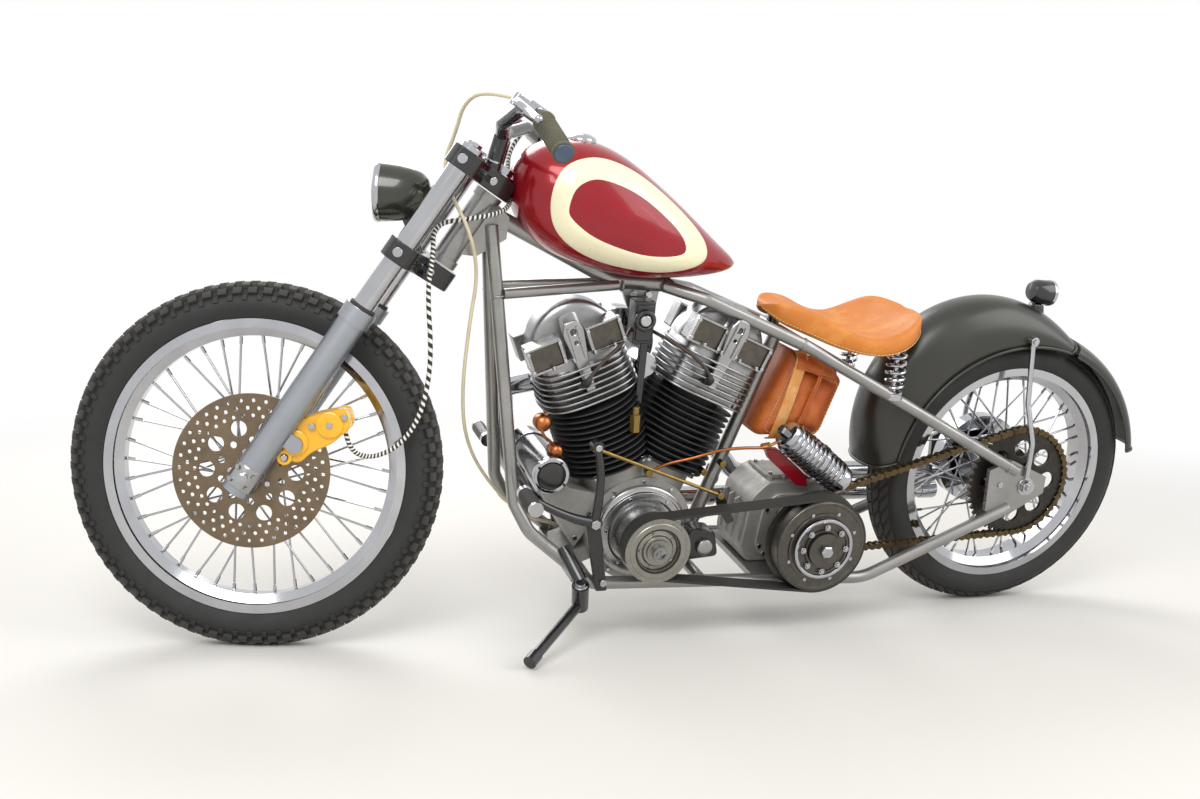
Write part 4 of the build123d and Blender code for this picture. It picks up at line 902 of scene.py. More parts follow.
# Fuel tank
# A pressed steel teardrop tank, egg-shaped across and wider below, sprayed in deep red
# lacquer; a cream ring and a dark red panel are laid on each side and lacquered over.
def smooth_rows(rows, count, wrap=False):
    """A natural cubic spline through the rows of a table, one unit apart, sampled evenly;
    with wrap it closes on itself."""
    rows = np.asarray(rows, float)
    if wrap:
        rows = np.concatenate([rows[-4:], rows, rows[:4]])
    n = len(rows)
    system = np.eye(n)
    k = np.arange(1, n - 1)
    system[k, k - 1], system[k, k], system[k, k + 1] = 1, 4, 1
    right = np.zeros_like(rows)
    right[1:-1] = 6 * (rows[2:] - 2 * rows[1:-1] + rows[:-2])
    bend = np.linalg.solve(system, right)
    s = np.linspace(0, n - 1, count)
    if wrap:
        s = np.linspace(4, n - 4, count, endpoint=False)
    i = np.clip(s.astype(int), 0, n - 2)
    b = (s - i)[:, None]
    a = 1 - b
    curve = (a**3 - a) * bend[i] + (b**3 - b) * bend[i + 1]
    return a * rows[i] + b * rows[i + 1] + curve / 6


# Columns: place along the machine, lowest, highest, half width
TANK = smooth_rows([
    (1180, 908, 908, 0), (1171, 866, 944, 46), (1146, 822, 976, 84), (1100, 786, 995, 112),
    (1040, 764, 998, 124), (970, 748, 975, 124), (900, 742, 930, 114), (830, 744, 877, 92),
    (765, 750, 824, 56), (722, 759, 790, 24), (704, 770, 772, 0),
], 120)
# the power of the superellipse across the tank, and how much narrower it is at the top
TANK_ROUND, TANK_EGG = 2.35, 0.1


def tank_side(x, z, out=0.0):
    """Half width of the tank at a place on its side: a superellipse between its lowest
    and highest point there, narrowed a little towards the top."""
    low, high, half = (np.interp(x, TANK[::-1, 0], TANK[::-1, k]) for k in (1, 2, 3))
    rise = np.clip((z - (low + high) / 2) / np.maximum((high - low) / 2, 1e-3), -1, 1)
    round_off = (1 - np.abs(rise) ** TANK_ROUND) ** (1 / TANK_ROUND)
    return half * round_off * (1 - TANK_EGG * rise) + out


u, v = (np.sign(w) * np.abs(w) ** (2 / TANK_ROUND) for w in circling(96))
x, low, high, half = TANK.T[:, :, None]
height = (low + high) / 2 + (high - low) / 2 * v
tank = np.stack([x + 0 * u, half * u * (1 - TANK_EGG * v), height], -1)
# deep red lacquer over a metallic ground: darker where it turns away, very glossy
red_lacquer = finish(
    "deep_red_lacquer", "tank_red", "#a00c1c", 0.2, metal=0.25, shade="#7d0814", patch=120,
    gloss=0.26, Specular_IOR_Level=0.3, Coat_Weight=0.45, Coat_Roughness=0.03,
)
piece("teardrop_tank", "chassis", [net(tank, round_v=True)], red_lacquer, "fuel_tank", smooth=180)
cream_enamel = finish(
    "cream_enamel", None, "#ece6c8", 0.22, shade="#e0d8b2", patch=70, gloss=0.3,
    Coat_Weight=0.5, Coat_Roughness=0.03,
)
panel_red = finish(
    "dark_red_enamel", None, "#960a1e", 0.2, shade="#7a0818", patch=60, gloss=0.3,
    Specular_IOR_Level=0.3, Coat_Weight=0.35, Coat_Roughness=0.03,
)
# Columns: place along the machine and height, round the ring's outer and inner edges
RING_OUTER = smooth_rows([
    (1127, 884), (1121, 926), (1096, 960), (1044, 975), (985, 963), (923, 931), (857, 882),
    (812, 838), (797, 806), (815, 781), (884, 766), (956, 770), (1026, 785), (1083, 812),
    (1116, 845),
], 180, wrap=True)
RING_INNER = smooth_rows([
    (1095, 884), (1086, 915), (1065, 933), (1037, 938), (993, 927), (942, 902), (887, 861),
    (860, 832), (854, 812), (874, 802), (931, 802), (988, 814), (1041, 833), (1075, 854),
    (1090, 868),
], 180, wrap=True)
# Columns: across the ring from its inner edge, and how far it stands off the tank
share, lift = np.array([
    (0.0, -0.6), (0.015, 0.5), (0.05, 1.0), (0.3, 1.2), (0.5, 1.2), (0.7, 1.2), (0.95, 1.0),
    (0.985, 0.5), (1.0, -0.6),
]).T[:, :, None]
flat = RING_INNER * (1 - share[..., None]) + RING_OUTER * share[..., None]
inside = np.array([0.0, 0.3, 0.6, 0.85, 1.0])[:, None, None]
panel = RING_INNER.mean(0) * (1 - inside) + RING_INNER * inside
for side, word in ((1, "left"), (-1, "right")):
    for name, grid, up, enamel in (
        ("tank_ring_", flat, lift, cream_enamel), ("tank_panel_", panel, 0.25, panel_red),
    ):
        x, z = grid[..., 0], grid[..., 1]
        points = np.stack([x, side * tank_side(x, z, up), z], -1)
        made = piece(name + word, "chassis", [net(points, round_v=True)], enamel, smooth=180)
        if (made.data.polygons[0].normal.y > 0) != (side > 0):
            made.data.flip_normals()
cap_rows = [(0.01, 0), (20, 0), (27, 3), (28, 8), (26, 13), (16, 18), (0.01, 20)]
cap_parts = [
    (points[:, [0, 2, 1]] + (1048, 0, 990), faces) for points, faces in (
        ring(cap_rows, (0, 0, 0), 60, False), on_ring((0, 0, 0), 18, 26.5, 3.0, 11.0, 2.2),
    )
]
piece("fuel_cap_crown", "chassis", cap_parts, chrome, "fuel_cap", edge=0.6)


# Saddle
# A solo saddle: thick vegetable-tanned hide, wet-moulded over a steel pan, dished in its
# middle, with a rolled edge and a row of waxed stitches inside it; paler where it is worn.
def leather(name, slot, colour, shade, worn, grain):
    """Hide: pores from cells of a size in mm, creases from stretched noise, a soft shine."""
    made = finish(name, slot, colour, 0.42, shade=shade, patch=55, gloss=0.6)
    tree = made.node_tree
    place = {"Vector": add(tree, "ShaderNodeTexCoord").outputs["Object"]}
    pores = add(tree, "ShaderNodeTexVoronoi", place, Scale=1000 / grain, Randomness=1.0)
    creases = add(tree, "ShaderNodeTexNoise", place, Scale=70.0, Detail=6.0, Distortion=1.6)
    both = add(
        tree, "ShaderNodeMath", {0: pores.outputs["Distance"], 1: creases.outputs["Fac"]},
        operation="ADD",
    )
    bump = add(
        tree, "ShaderNodeBump", {"Height": both.outputs[0]}, Strength=0.6, Distance=0.0005
    )
    tree.links.new(bump.outputs[0], tree.nodes["Principled BSDF"].inputs["Normal"])
    rub = add(tree, "ShaderNodeTexNoise", place, Scale=14.0, Detail=4.0, Roughness=0.7)
    share = add(
        tree, "ShaderNodeMapRange", {"Value": rub.outputs["Fac"]}, From_Min=0.48, From_Max=0.72
    )
    share.inputs["To Max"].default_value = 0.65
    tint(made, share.outputs[0], worn)
    return made


saddle_hide = leather("tan_saddle_hide", "saddle_leather", "#cf7d2c", "#b86a20", "#dd9a48", 2.2)
# Columns: place along the machine, half width, rim's height, dish's height, lower edge
SEAT = smooth_rows([
    (634, 8, 686, 686, 681), (631, 24, 693, 693, 677), (621, 42, 698, 695, 668),
    (600, 62, 700, 692, 655), (550, 88, 691, 678, 637), (500, 112, 669, 659, 621),
    (450, 133, 652, 644, 613), (405, 142, 652, 642, 613), (360, 138, 670, 654, 624),
    (325, 117, 687, 675, 644), (303, 78, 690, 684, 664), (292, 22, 688, 686, 677),
], 90)
# Columns: share of the half width, and height as shares of the lower edge, rim and dish
ACROSS = np.array([
    (0.0, 0, 0, 1), (0.25, 0, 0.06, 0.94), (0.5, 0, 0.26, 0.74), (0.7, 0, 0.6, 0.4),
    (0.84, 0, 0.9, 0.1), (0.92, 0, 1.0, 0), (0.97, 0.1, 0.9, 0), (1.0, 0.34, 0.66, 0),
    (1.0, 0.66, 0.34, 0), (0.97, 0.92, 0.08, 0), (0.93, 1.0, 0.0, 0), (0.88, 0.9, 0.1, 0),
    (0.8, 0.7, 0.3, 0), (0.4, 0.5, 0.3, 0.2),
])
x, half, rim_z, dish, low = SEAT.T[:, :, None]
share, to_low, to_rim, to_dish = ACROSS.T
height = low * to_low + rim_z * to_rim + dish * to_dish
right_side = np.stack([x + 0 * share, half * share, height], -1)
left_side = right_side[:, :0:-1] * (1, -1, 1)
hull = net(np.concatenate([right_side, left_side], 1), round_v=True, ends=True)
saddle = piece("leather_saddle", "chassis", [hull], saddle_hide, "seat", smooth=180)
smoother = saddle.modifiers.new("hide", "SUBSURF")
smoother.levels = smoother.render_levels = 1
waxed_thread = finish("waxed_thread", None, "#e3c48c", 0.6, shade="#c49c5c", patch=5)


def stitches(line, length, gap, radius):
    """Short round stitches laid end to end along a line, a gap between each and the next."""
    at = np.arange(0, runs(line)[-1] - length, length + gap)
    return rods(at_runs(line, at), at_runs(line, at + length), radius, 5)


edge_line = np.stack([SEAT[:, 0], SEAT[:, 1] * 0.995, SEAT[:, 4] * 0.84 + SEAT[:, 2] * 0.16], 1)
rolls = [
    stitches(edge_line[3:-3] * (1, side, 1) + (0, side * 0.6, 0), 5.0, 2.6, 0.9)
    for side in (1, -1)
]
piece("saddle_stitches", "chassis", rolls, waxed_thread)

# Saddle springs
# Two chromed coil springs of round wire carry the back of the saddle on the frame, and a
# black hinge bracket holds its nose.
spring_parts = []
t = np.linspace(0, 1, 200)
radius, turn = 15.5 + 4.0 * np.sin(np.pi * t), t * 2 * np.pi * 6.5
coil = np.stack([radius * np.cos(turn), radius * np.sin(turn), 0 * t], 1)
for side in (1, -1):
    foot, top = np.array((356, side * 104, 524)), np.array((352, side * 92, 624))
    spring_parts.append(swept(foot + (top - foot) * t[:, None] + coil, 3.3, 8))
    spring_parts.append(swept([foot - (0, 0, 8), foot + (0, 0, 3)], 20.0, 24))
    spring_parts.append(swept([top - (0, 0, 2), top + (0, 0, 6)], 20.0, 24))
    spring_parts.append(swept([foot, top], 5.0, 12))
nose = [
    swept([(600, 0, 638), (600, 0, 674)], 12.0, 20),
    swept([(600, -26, 668), (600, 26, 668)], 8.0, 16),
]
piece("saddle_springs", "chassis", spring_parts, chrome, "seat_mount")
piece("saddle_nose_bracket", "chassis", nose, gloss_black, edge=0.6)

# Tool bag
# A bag of orange-brown hide, stitched from two sides and a gusset, under the saddle: a
# short flap hangs over its top edge, and one paler strap goes down its left side.
bag_hide = leather("orange_bag_hide", "bag_leather", "#b85a1e", "#9a4612", "#cc7a36", 2.6)
bag_line = rounded([
    (573, 603), (637, 430), (629, 418), (494, 416), (483, 428), (448, 540), (458, 552),
], 5.0, 4)
BAG_HALF = 66
middle = bag_line.mean(0)


def bag_outline(share):
    """The bag's outline, drawn in towards its middle to a share of its size."""
    return middle + (bag_line - middle) * share


t = np.linspace(-1, 1, 25)[:, None, None]
sides = bag_outline(1 - 0.3 * np.abs(t) ** 7 - 0.03 * t**2)
bulge = BAG_HALF * t * (1 + 0.06 * (1 - np.abs(t))) + 0 * sides[..., :1]
bag = np.concatenate([sides[..., :1], bulge, sides[..., 1:]], -1)
# each side's face swells a little more, in three steps towards its middle
pads = np.array([0.66, 0.4, 0.15])[:, None, None]
outline = bag_outline(0.67 * pads / 0.66)
for side in (-1, 1):
    swell = side * (BAG_HALF + (0.7 - pads) * 11) + 0 * outline[..., :1]
    dome = np.concatenate([outline[..., :1], swell, outline[..., 1:]], -1)
    bag = np.concatenate([dome[::-1], bag] if side < 0 else [bag, dome])
bag_piece = piece(
    "leather_tool_bag", "chassis", [net(bag, round_v=True, ends=True)], bag_hide, "leather_bag",
    smooth=180,
)


def strap(line, width, thick, across):
    """A flat strap with rounded edges along a line, its width across one direction."""
    line = smooth_rows(line, 60)
    along = unit(np.gradient(line, axis=0))
    wide = unit(np.cross(along, np.cross(np.asarray(across, float), along)))
    up = np.cross(along, wide)
    half = np.array([(-0.5, -0.3), (-0.46, -0.5), (0.46, -0.5), (0.5, -0.3)])
    shape = np.concatenate([half, -half])
    grid = wide[:, None] * (shape[:, :1] * width) + up[:, None] * (shape[:, 1:] * thick)
    return net(line[:, None] + grid, round_v=True, ends=True)


strap_hide = leather("pale_strap_hide", "bag_leather", "#cf9450", "#b3712f", "#e0b07a", 2.6)
bag_strap = strap([
    (556, 50, 602), (558, 68, 590), (566, 74, 560), (576, 76.5, 520), (586, 76.5, 480),
    (594, 73, 445), (598, 66, 422), (598, 50, 414),
], 25, 3.2, (1.0, 0.0, 0.0))
piece("bag_strap", "chassis", [bag_strap], strap_hide)
# two rolled lips stand along the seam of the side, with a dark groove between them
seam = smooth_rows([
    (508, 60, 578), (516, 75.2, 548), (528, 76.8, 515), (540, 77, 480), (550, 74.5, 448),
    (556, 67, 422),
], 60)
trim = [swept(seam + (x, 0.4, 0), 2.3, 10) for x in (-2.6, 2.6)]
trim.append(strap([(520, 58, 590), (522, 70, 574), (525, 74.6, 560)], 98, 3.4, (0.92, 0.0, 0.4)))
trim.append(swept([
    (481, 76.2, 541), (500, 76.4, 549), (525, 76.4, 560), (550, 76.2, 571), (569, 75.4, 579),
], 1.5, 10))
piece("bag_seam_and_flap", "chassis", trim, bag_hide)
thread_line = in_plane(bag_outline(0.82), 60.9)
thread = stitches(np.concatenate([thread_line, thread_line[:1]]), 4.5, 2.8, 0.8)
piece("bag_stitches", "chassis", [thread], waxed_thread)

# Rear fender
# Two pressed steel guards sprayed satin black: a deep one with side skirts that follow
# the wheel, and a shallower tail that comes out from under its beaded rear lip.
satin_black = finish(
    "satin_black_paint", "fender_black", "#1d1d18", 0.32, metal=0.15, shade="#282820",
    patch=90, gloss=0.42, grain=3.0, depth=0.03, Coat_Weight=0.35, Coat_Roughness=0.25,
)


def guard(centre, radius, half, span, reach, count, deep):
    """A fender's outer skin: a superellipse across, carried round a centre; its edges
    reach down to a circle round the axle, or a set depth where there is none."""
    a = np.linspace(*np.radians(span), count)[:, None]
    way = np.array([centre[0], centre[1] - REAR_AXLE[2]])
    dot = way[0] * np.cos(a) + way[1] * np.sin(a)
    if reach:
        root = np.maximum(dot**2 - (way @ way) + reach**2, 0)
        edge = np.clip(-dot + np.sqrt(root), radius - deep, radius - 3)
    else:
        edge = np.full_like(a, radius - deep)
    f = np.linspace(-1, 1, 41)[None] * np.pi / 2
    y = half * np.sign(f) * np.abs(np.sin(f)) ** 0.86
    r = radius - (radius - edge) * (1 - np.abs(np.cos(f)) ** 0.72)
    return np.stack([centre[0] + r * np.cos(a), y + 0 * a, centre[1] + r * np.sin(a)], -1)


main_skin = guard((88, 434), 282, 77, (-19, 136), 304, 110, 140)
tail_skin = guard((0, REAR_AXLE[2]), 336, 72, (112, 169), None, 50, 34)
for name, skin, node in (
    ("rear_guard", main_skin, "rear_fender"), ("tail_guard", tail_skin, "tail_fender"),
):
    made = piece(name, "chassis", [net(skin)], satin_black, node, smooth=180)
    if made.data.polygons[len(made.data.polygons) // 2].normal.z < 0:
        made.data.flip_normals()
    wall = made.modifiers.new("wall", "SOLIDIFY")
    wall.thickness, wall.offset = 0.003, -1.0
beads = [
    swept(line, size, 8) for line, size in (
        (main_skin[:, 0], 3.4), (main_skin[:, -1], 3.4), (main_skin[-1], 3.4),
        (main_skin[0], 3.4), (tail_skin[-1], 3.0), (tail_skin[:, 0], 2.6),
        (tail_skin[:, -1], 2.6),
    )
]
piece("guard_beads", "chassis", beads, satin_black, smooth=180)


# Cylinders and heads
# A V-twin of 45 degrees: iron barrels with thin round fins painted heat-proof black,
# and aluminium heads whose fins, rocker boxes and brackets are polished and bolted down.
HALF_V = np.radians(22.5)


def on_bank(sign, points):
    """Points of a cylinder's own drawing, (forward, left, up from the crank), tilted 22.5
    degrees forward for the front one and back for the rear one."""
    x, y, h = np.asarray(points, float).T
    c, s = np.cos(HALF_V * sign), np.sin(HALF_V * sign)
    return np.stack([CRANK[0] + x * c + h * s, y, CRANK[2] - x * s + h * c], 1)


def tilted(sign, parts):
    """Parts of a cylinder's own drawing, tilted with it."""
    return [(on_bank(sign, points), faces) for points, faces in parts]


def bank_bolts(sign, feet, low, high, radius):
    """Bolts of a cylinder at places (x, y), upright between two heights of its drawing."""
    return rods(*(on_bank(sign, [(x, y, h) for x, y in feet]) for h in (low, high)), radius)


def cut_at_the_middle(x, height, sign, gap):
    """Forward places, cut off where they would pass the middle of the V."""
    edge = height * np.tan(HALF_V) - gap
    return np.maximum(x, -edge) if sign > 0 else np.minimum(x, edge)


def squared_round(power, sides):
    """A round outline whose x and y, each to a power, add up to one."""
    c, s = circling(sides)
    r = (np.abs(c) ** power + np.abs(s) ** power) ** (-1 / power)
    return r * c, r * s


def fin(height, thick, long, wide, power, root, sign=None):
    """A cooling fin: a flat ring with a rounded edge."""
    x, y = squared_round(power, 96)
    c, s = circling(96)
    rows = [
        [(long - inset) * x, (wide - inset) * y, height + up * thick + 0 * x]
        for inset, up in ((0.9, 0.5), (0.15, 0.22), (0.15, -0.22), (0.9, -0.5))
    ]
    rows += [[root * c, root * s, height + up * thick + 0 * c] for up in (-0.5, 0.5)]
    grid = np.array(rows).transpose(0, 2, 1)
    if sign:
        grid[..., 0] = cut_at_the_middle(grid[..., 0], height, sign, 0.6)
    return net(grid, round_u=True, round_v=True)


def tower(rows, sides=48, sign=None):
    """A round or square column from rows of (height, half length, half width, power)."""
    grid = []
    for height, long, wide, power in rows:
        x, y = squared_round(power, sides)
        x = cut_at_the_middle(long * x, height, sign, 1.0) if sign else long * x
        grid.append(np.stack([x, wide * y, height + 0 * x], 1))
    return net(np.array(grid), round_v=True, ends=True)


for sign, name in ((1, "front_barrel"), (-1, "rear_barrel")):
    barrel = [fin(146.5 + 12.55 * k, 3.0, 97, 97, 2, 58, sign) for k in range(12)]
    barrel.append(tower([(128, 62, 62, 2), (140, 62, 62, 2), (299, 62, 62, 2)], 64, sign))
    piece(f"finned_{name}", "chassis", tilted(sign, barrel), black_fins, name)

# the rocker boxes' dark faces: cast aluminium, blackened between bright machined rims
smoked_casting = finish(
    "smoked_casting", "alloy", "#6b665d", 0.3, metal=0.85, shade="#46423b", patch=18, gloss=0.5,
    grain=3.0, depth=0.08,
)


def framed(x0, x1, h0, h1, y, rim=6.0, proud=5.0):
    """A square box's face: four machined rims standing proud, and the panel inside."""
    a, b, low, high, back = x0 + rim, x1 - rim, h0 + 0.7 * rim, h1 - 0.7 * rim, y - 8
    rims = [
        block((x0, back, h0), (a, y + proud, h1)), block((b, back, h0), (x1, y + proud, h1)),
        block((a, back, h0), (b, y + proud - 1.5, low)),
        block((a, back, high), (b, y + proud - 1.5, h1)),
    ]
    return rims, [block((a, back, low), (b, y, high))]


def dome(low, long, high, half):
    """A half barrel lying across: an arch from front to back, its two ends rounded."""
    a = np.linspace(0, np.pi, 40)
    v = np.linspace(-1, 1, 21)[:, None]
    swell = 0.84 + 0.16 * np.sqrt(np.clip(1 - np.abs(v) ** 6, 0, 1))
    grid = [long * swell * np.cos(a), half * v + 0 * a, low + high * swell * np.sin(a)]
    return net(np.stack(grid, -1), ends=True)


# where a head's two boxes start and end along it, and how low and high they stand
BOXES = {1: ((-90, -18), (34, 106)), -1: ((26, 98), (-82, -10))}
low, high = 393, 447
bright, dark, bodies, screws = [], [], [], []
for sign, spans in BOXES.items():
    head = [fin(302 + 12.3 * k, 3.6, 102 - 0.9 * k, 94 - 0.6 * k, 3, 66) for k in range(7)]
    head.append(tower([(298, 80, 66, 6), (392, 84, 68, 6), (396, 82, 66, 6)], 64))
    name = "front_head" if sign > 0 else "rear_head"
    piece(f"finned_{name}", "chassis", tilted(sign, head), polished_alloy, name)
    ridge = tower([(388, 30, 44, 4), (470, 26, 40, 4), (482, 20, 34, 4)], 32)
    bodies += tilted(sign, [dome(392, 97, 104, 37), ridge])
    for x0, x1 in spans:
        rims, panel = framed(x0, x1, low, high, 74)
        bright += tilted(sign, rims)
        dark += tilted(sign, panel)
        bodies += tilted(sign, [
            block((x0 + 2, y, low), (x1 - 2, y + 38, high)) for y in (30, -68)
        ])
        corners = [(x, h) for x in (x0 + 3.2, x1 - 3.2) for h in (low + 8, high - 8)]
        screws.append(rods(*(on_bank(sign, in_plane(corners, y)) for y in (78, 81.5)), 4.2))
    ends = np.sort(np.ravel(spans))
    middle = (ends[1] + ends[2]) / 2
    arm = rounded([
        (-9, 322), (9, 322), (13, 388), (21, 452), (12, 474), (-14, 474), (-22, 452), (-13, 388),
    ], 7) + (middle, 0)
    eyes = [circle(middle, 452, 6, 20), circle(middle, 430, 3.4, 14)]
    ribs = [
        block((middle + x - 2.2, 84, 396), (middle + x + 2.2, 92, 462)) for x in (-9, 9)
    ]
    bright += tilted(sign, [cut_plate([arm, *eyes], 79, 88, 1.6), *ribs])
    foot_spots = [(x, y) for x in (-64, -22, 22, 64) for y in (-56, 84)]
    screws.append(bank_bolts(sign, foot_spots, 394, 402, 4.2))
piece("rocker_boxes", "chassis", bodies, polished_alloy, edge=2.2)
piece("rocker_box_rims", "chassis", bright, turned_alloy, edge=0.8)
piece("rocker_box_panels", "chassis", dark, smoked_casting, edge=1.5)
piece("head_bolts", "chassis", screws, chrome, edge=0.4)

# Ignition
# A square black coil clamped between the heads by a chromed bolt, and one short lead from
# it to the plug on the left of each head.
COIL = np.array((906.0, 0.0, 664.0))
coil_box = [
    block((884, 18, 616), (926, 56, 700)), block((888, 54, 622), (922, 60, 694)),
    block((886, 26, 486), (902, 40, 618)),
    ring([(14, 58), (20, 58), (22, 61), (22, 66), (19, 68), (14, 68)], COIL, 40),
]
piece("ignition_coil", "chassis", coil_box, gloss_black, edge=2.0)
bolt_head = ring([(0.01, 58), (13, 58), (13, 66), (10, 70), (0.01, 70)], COIL, 32, False)
piece("coil_bolt", "chassis", [bolt_head], chrome, edge=0.6)

# brown cloth-covered leads with black rubber boots
lead_cover = finish("brown_plug_lead", "hose_rubber", "#3b2a1e", 0.5, shade="#241a14", patch=9)
boots, shells = [], []
# Columns: which head, where the plug stands, which way its boot leans, the lead's route
for name, x, z, lean, route in (
    ("front", 1030, 552, -4, [
        (1030, 118, 560), (1016, 116, 580), (985, 100, 604), (952, 78, 624), (930, 46, 640),
        (916, 28, 648),
    ]),
    ("rear", 776, 556, 4, [
        (776, 118, 562), (790, 116, 584), (816, 102, 606), (846, 80, 624), (872, 48, 634),
        (890, 26, 642),
    ]),
):
    lead = cord(f"plug_lead_{name}_line", on_frame(route), CABLE_RADIUS, lead_cover)
    line = centreline(lead)
    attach(lead, "chassis")
    boot = [(x, 96, z - 6), (x, 108, z - 4), (x, 116, z + 2), (x + lean, 117, z + 12)]
    boots.append(swept(boot, [7.5, 7.5, 7.0, 5.0], 16))
    shells.append(rods((x, 66, z - 8), (x, 92, z - 6), 6.5))
    shells.append(rods((x, 92, z - 6), (x, 98, z - 5), 4.5, 16))
piece("plug_boots", "chassis", boots, hose_rubber, smooth=180)
piece("spark_plugs", "chassis", shells, chrome)

# Crankcase, generator and oil lines
# The cases are sand-cast and bolted together, with a turned cover behind the pulley. The
# generator lies across in front; copper pipes and brass unions carry the oil.
cover = ring([
    (54, 74), (95, 74), (97, 77), (97, 86), (93, 89), (88, 90), (86, 95), (74, 96), (70, 91),
    (54, 91),
], CRANK, 120)
nose = ring([(54.5, 88), (62, 88), (64, 92), (60, 110), (58, 136), (54.5, 138)], CRANK, 80)
piece("primary_cover_rings", "chassis", [cover, nose], turned_alloy, edge=0.6)
studs = [on_ring(CRANK, 10, 104, 74, 80, 4.0, 6, 0.3), on_ring(CRANK, 6, 80, 94, 99, 3.4, 6, 0.1)]
for sign in (1, -1):
    base_spots = [(x, y) for x in (-52, 52) for y in (-70, 70)]
    studs.append(bank_bolts(sign, base_spots, 138, 149, 7.0))
studs.append(rods(
    [(940, 74, 300), (1012, 62, 212), (1080, 60, 322), (800, 74, 160), (772, 60, 160)],
    [(940, 80, 300), (1012, 68, 212), (1080, 68, 322), (800, 80, 160), (772, 66, 160)], 6.0,
))
piece("crankcase_bolts", "chassis", studs, chrome, edge=0.5)

GENERATOR = np.array((1084.0, 0.0, 362.0))
generator_rings = [
    ring([(24, 96), (36, 96), (37.5, 98), (37.5, 106), (35, 108.5), (29, 108.5), (28, 106),
          (24, 106)], GENERATOR, 72),
    ring([(36, -60), (38.5, -60), (38.5, -46), (36, -46)], GENERATOR, 72),
]
piece("generator_rings", "chassis", generator_rings, chrome, edge=0.4)
end_cap = ring([
    (0.01, 103), (26, 103), (28, 106), (27, 110), (20, 112), (8, 112.5), (0.01, 112.5),
], GENERATOR, 60, False)
piece("generator_cap", "chassis", [end_cap], gloss_black, smooth=60)
cap_screws = on_ring(GENERATOR, 4, 32, 108, 110.5, 2.8, 8, 0.6)
piece("generator_screws", "chassis", [cap_screws], dark_steel)

# bare copper and brass, browned in the hollows
copper = finish(
    "bare_copper", "dark_steel", "#c07a4c", 0.24, metal=1.0, shade="#8a4d2e", patch=16, gloss=0.4
)
brass = finish(
    "bare_brass", "dark_steel", "#a58d58", 0.28, metal=1.0, shade="#705a2c", patch=14, gloss=0.44
)


def curve_through(points, count=40):
    """A smooth line of even steps: a quadratic spline drawn inside the given corners."""
    p = np.asarray(points, float)
    mids = (p[1:] + p[:-1]) / 2
    t = np.linspace(0, 1, 9)[:, None]
    bends = [
        (1 - t) ** 2 * a + 2 * t * (1 - t) * b + t**2 * c
        for a, b, c in zip(mids[:-1], p[1:-1], mids[1:])
    ]
    line = np.concatenate([p[:1], *bends, p[-1:]])
    steps = np.linalg.norm(np.diff(line, axis=0), axis=1)
    line = line[np.concatenate([[True], steps > 1e-3])]
    return at_runs(line, np.linspace(0, runs(line)[-1], count))


oil_parts = [
    swept(curve_through([
        (874, 84, 356), (846, 100, 380), (800, 118, 396), (742, 120, 414), (690, 120, 418),
        (640, 118, 416), (612, 108, 424),
    ]), 3.2, 12),
    swept(curve_through([
        (1070, 70, 400), (1082, 84, 424), (1104, 92, 440), (1110, 86, 470), (1092, 74, 480),
    ]), 3.0, 12),
    ring([(0.01, 62), (15, 62), (17, 66), (17, 84), (12, 92), (0.01, 95)], (1102, 0, 462), 32,
         False),
    ring([(0.01, 60), (14, 60), (15, 64), (14, 84), (8, 91), (0.01, 92)], (1070, 0, 404), 32,
         False),
]
piece("copper_oil_lines", "chassis", oil_parts, copper, smooth=60)
# Columns: start and end of each union, its radius and sides; the last two are the gear
# linkage's rod, of brass-coated steel from the lever's arm to the gearbox, and its ends
unions = [rods(*row) for row in (
    ((874, 72, 356), (874, 92, 356), 8.0, 6), ((646, 112, 417), (628, 112, 420), 7.0, 6),
    ((915, 90, 446), (917, 91, 482), 11.5, 6), ((917, 91, 482), (918, 92, 498), 7.5, 20),
    ((916, 56, 464), (916, 90, 464), 6.5, 20),
    ([(752, 60, 352), (716, 72, 372)], [(752, 84, 352), (716, 92, 372)], 7.5, 6),
    ((1018, 158, 436), (742, 150, 329), 3.6, 12),
    ([(1018, 150, 436), (742, 142, 329)], [(1018, 166, 436), (742, 158, 329)], 7.0, 20),
)]
piece("brass_unions_and_rod", "chassis", unions, brass, edge=0.6)
link_line = rounded([(734, 336), (750, 336), (742, 300), (716, 262), (700, 268)], 5)
mount_line = rounded([(716, 182), (786, 176), (800, 214), (780, 246), (730, 240)], 12)
link_parts = [
    cut_plate([link_line, circle(742, 329, 4, 14)], 138, 143, 0.8),
    cut_plate([mount_line], 76, 120, 3),
]
piece("gear_linkage_arm", "chassis", link_parts, gloss_black, edge=0.6)
knob = ring([
    (0.01, 118), (16, 118), (17.5, 120), (17.5, 128), (16, 130), (12, 131), (0.01, 131),
], (751, 0, 206), 40, False)
piece("timing_plug", "chassis", [knob], turned_alloy, edge=0.6)


# Oil filter
# A chromed canister with turned cooling fins and a nut at each end, held above the gearbox
# by a chromed strap and a red enamelled bracket.
def pins(places, by, radius, sides=6):
    """Bolt heads or rods that stand out from places by one vector."""
    places = np.atleast_2d(np.asarray(places, float))
    return rods(places, places + by, radius, sides)


FILTER_TOP, FILTER_FOOT = np.array((592.0, 106.0, 444.0)), np.array((448.0, 106.0, 334.0))
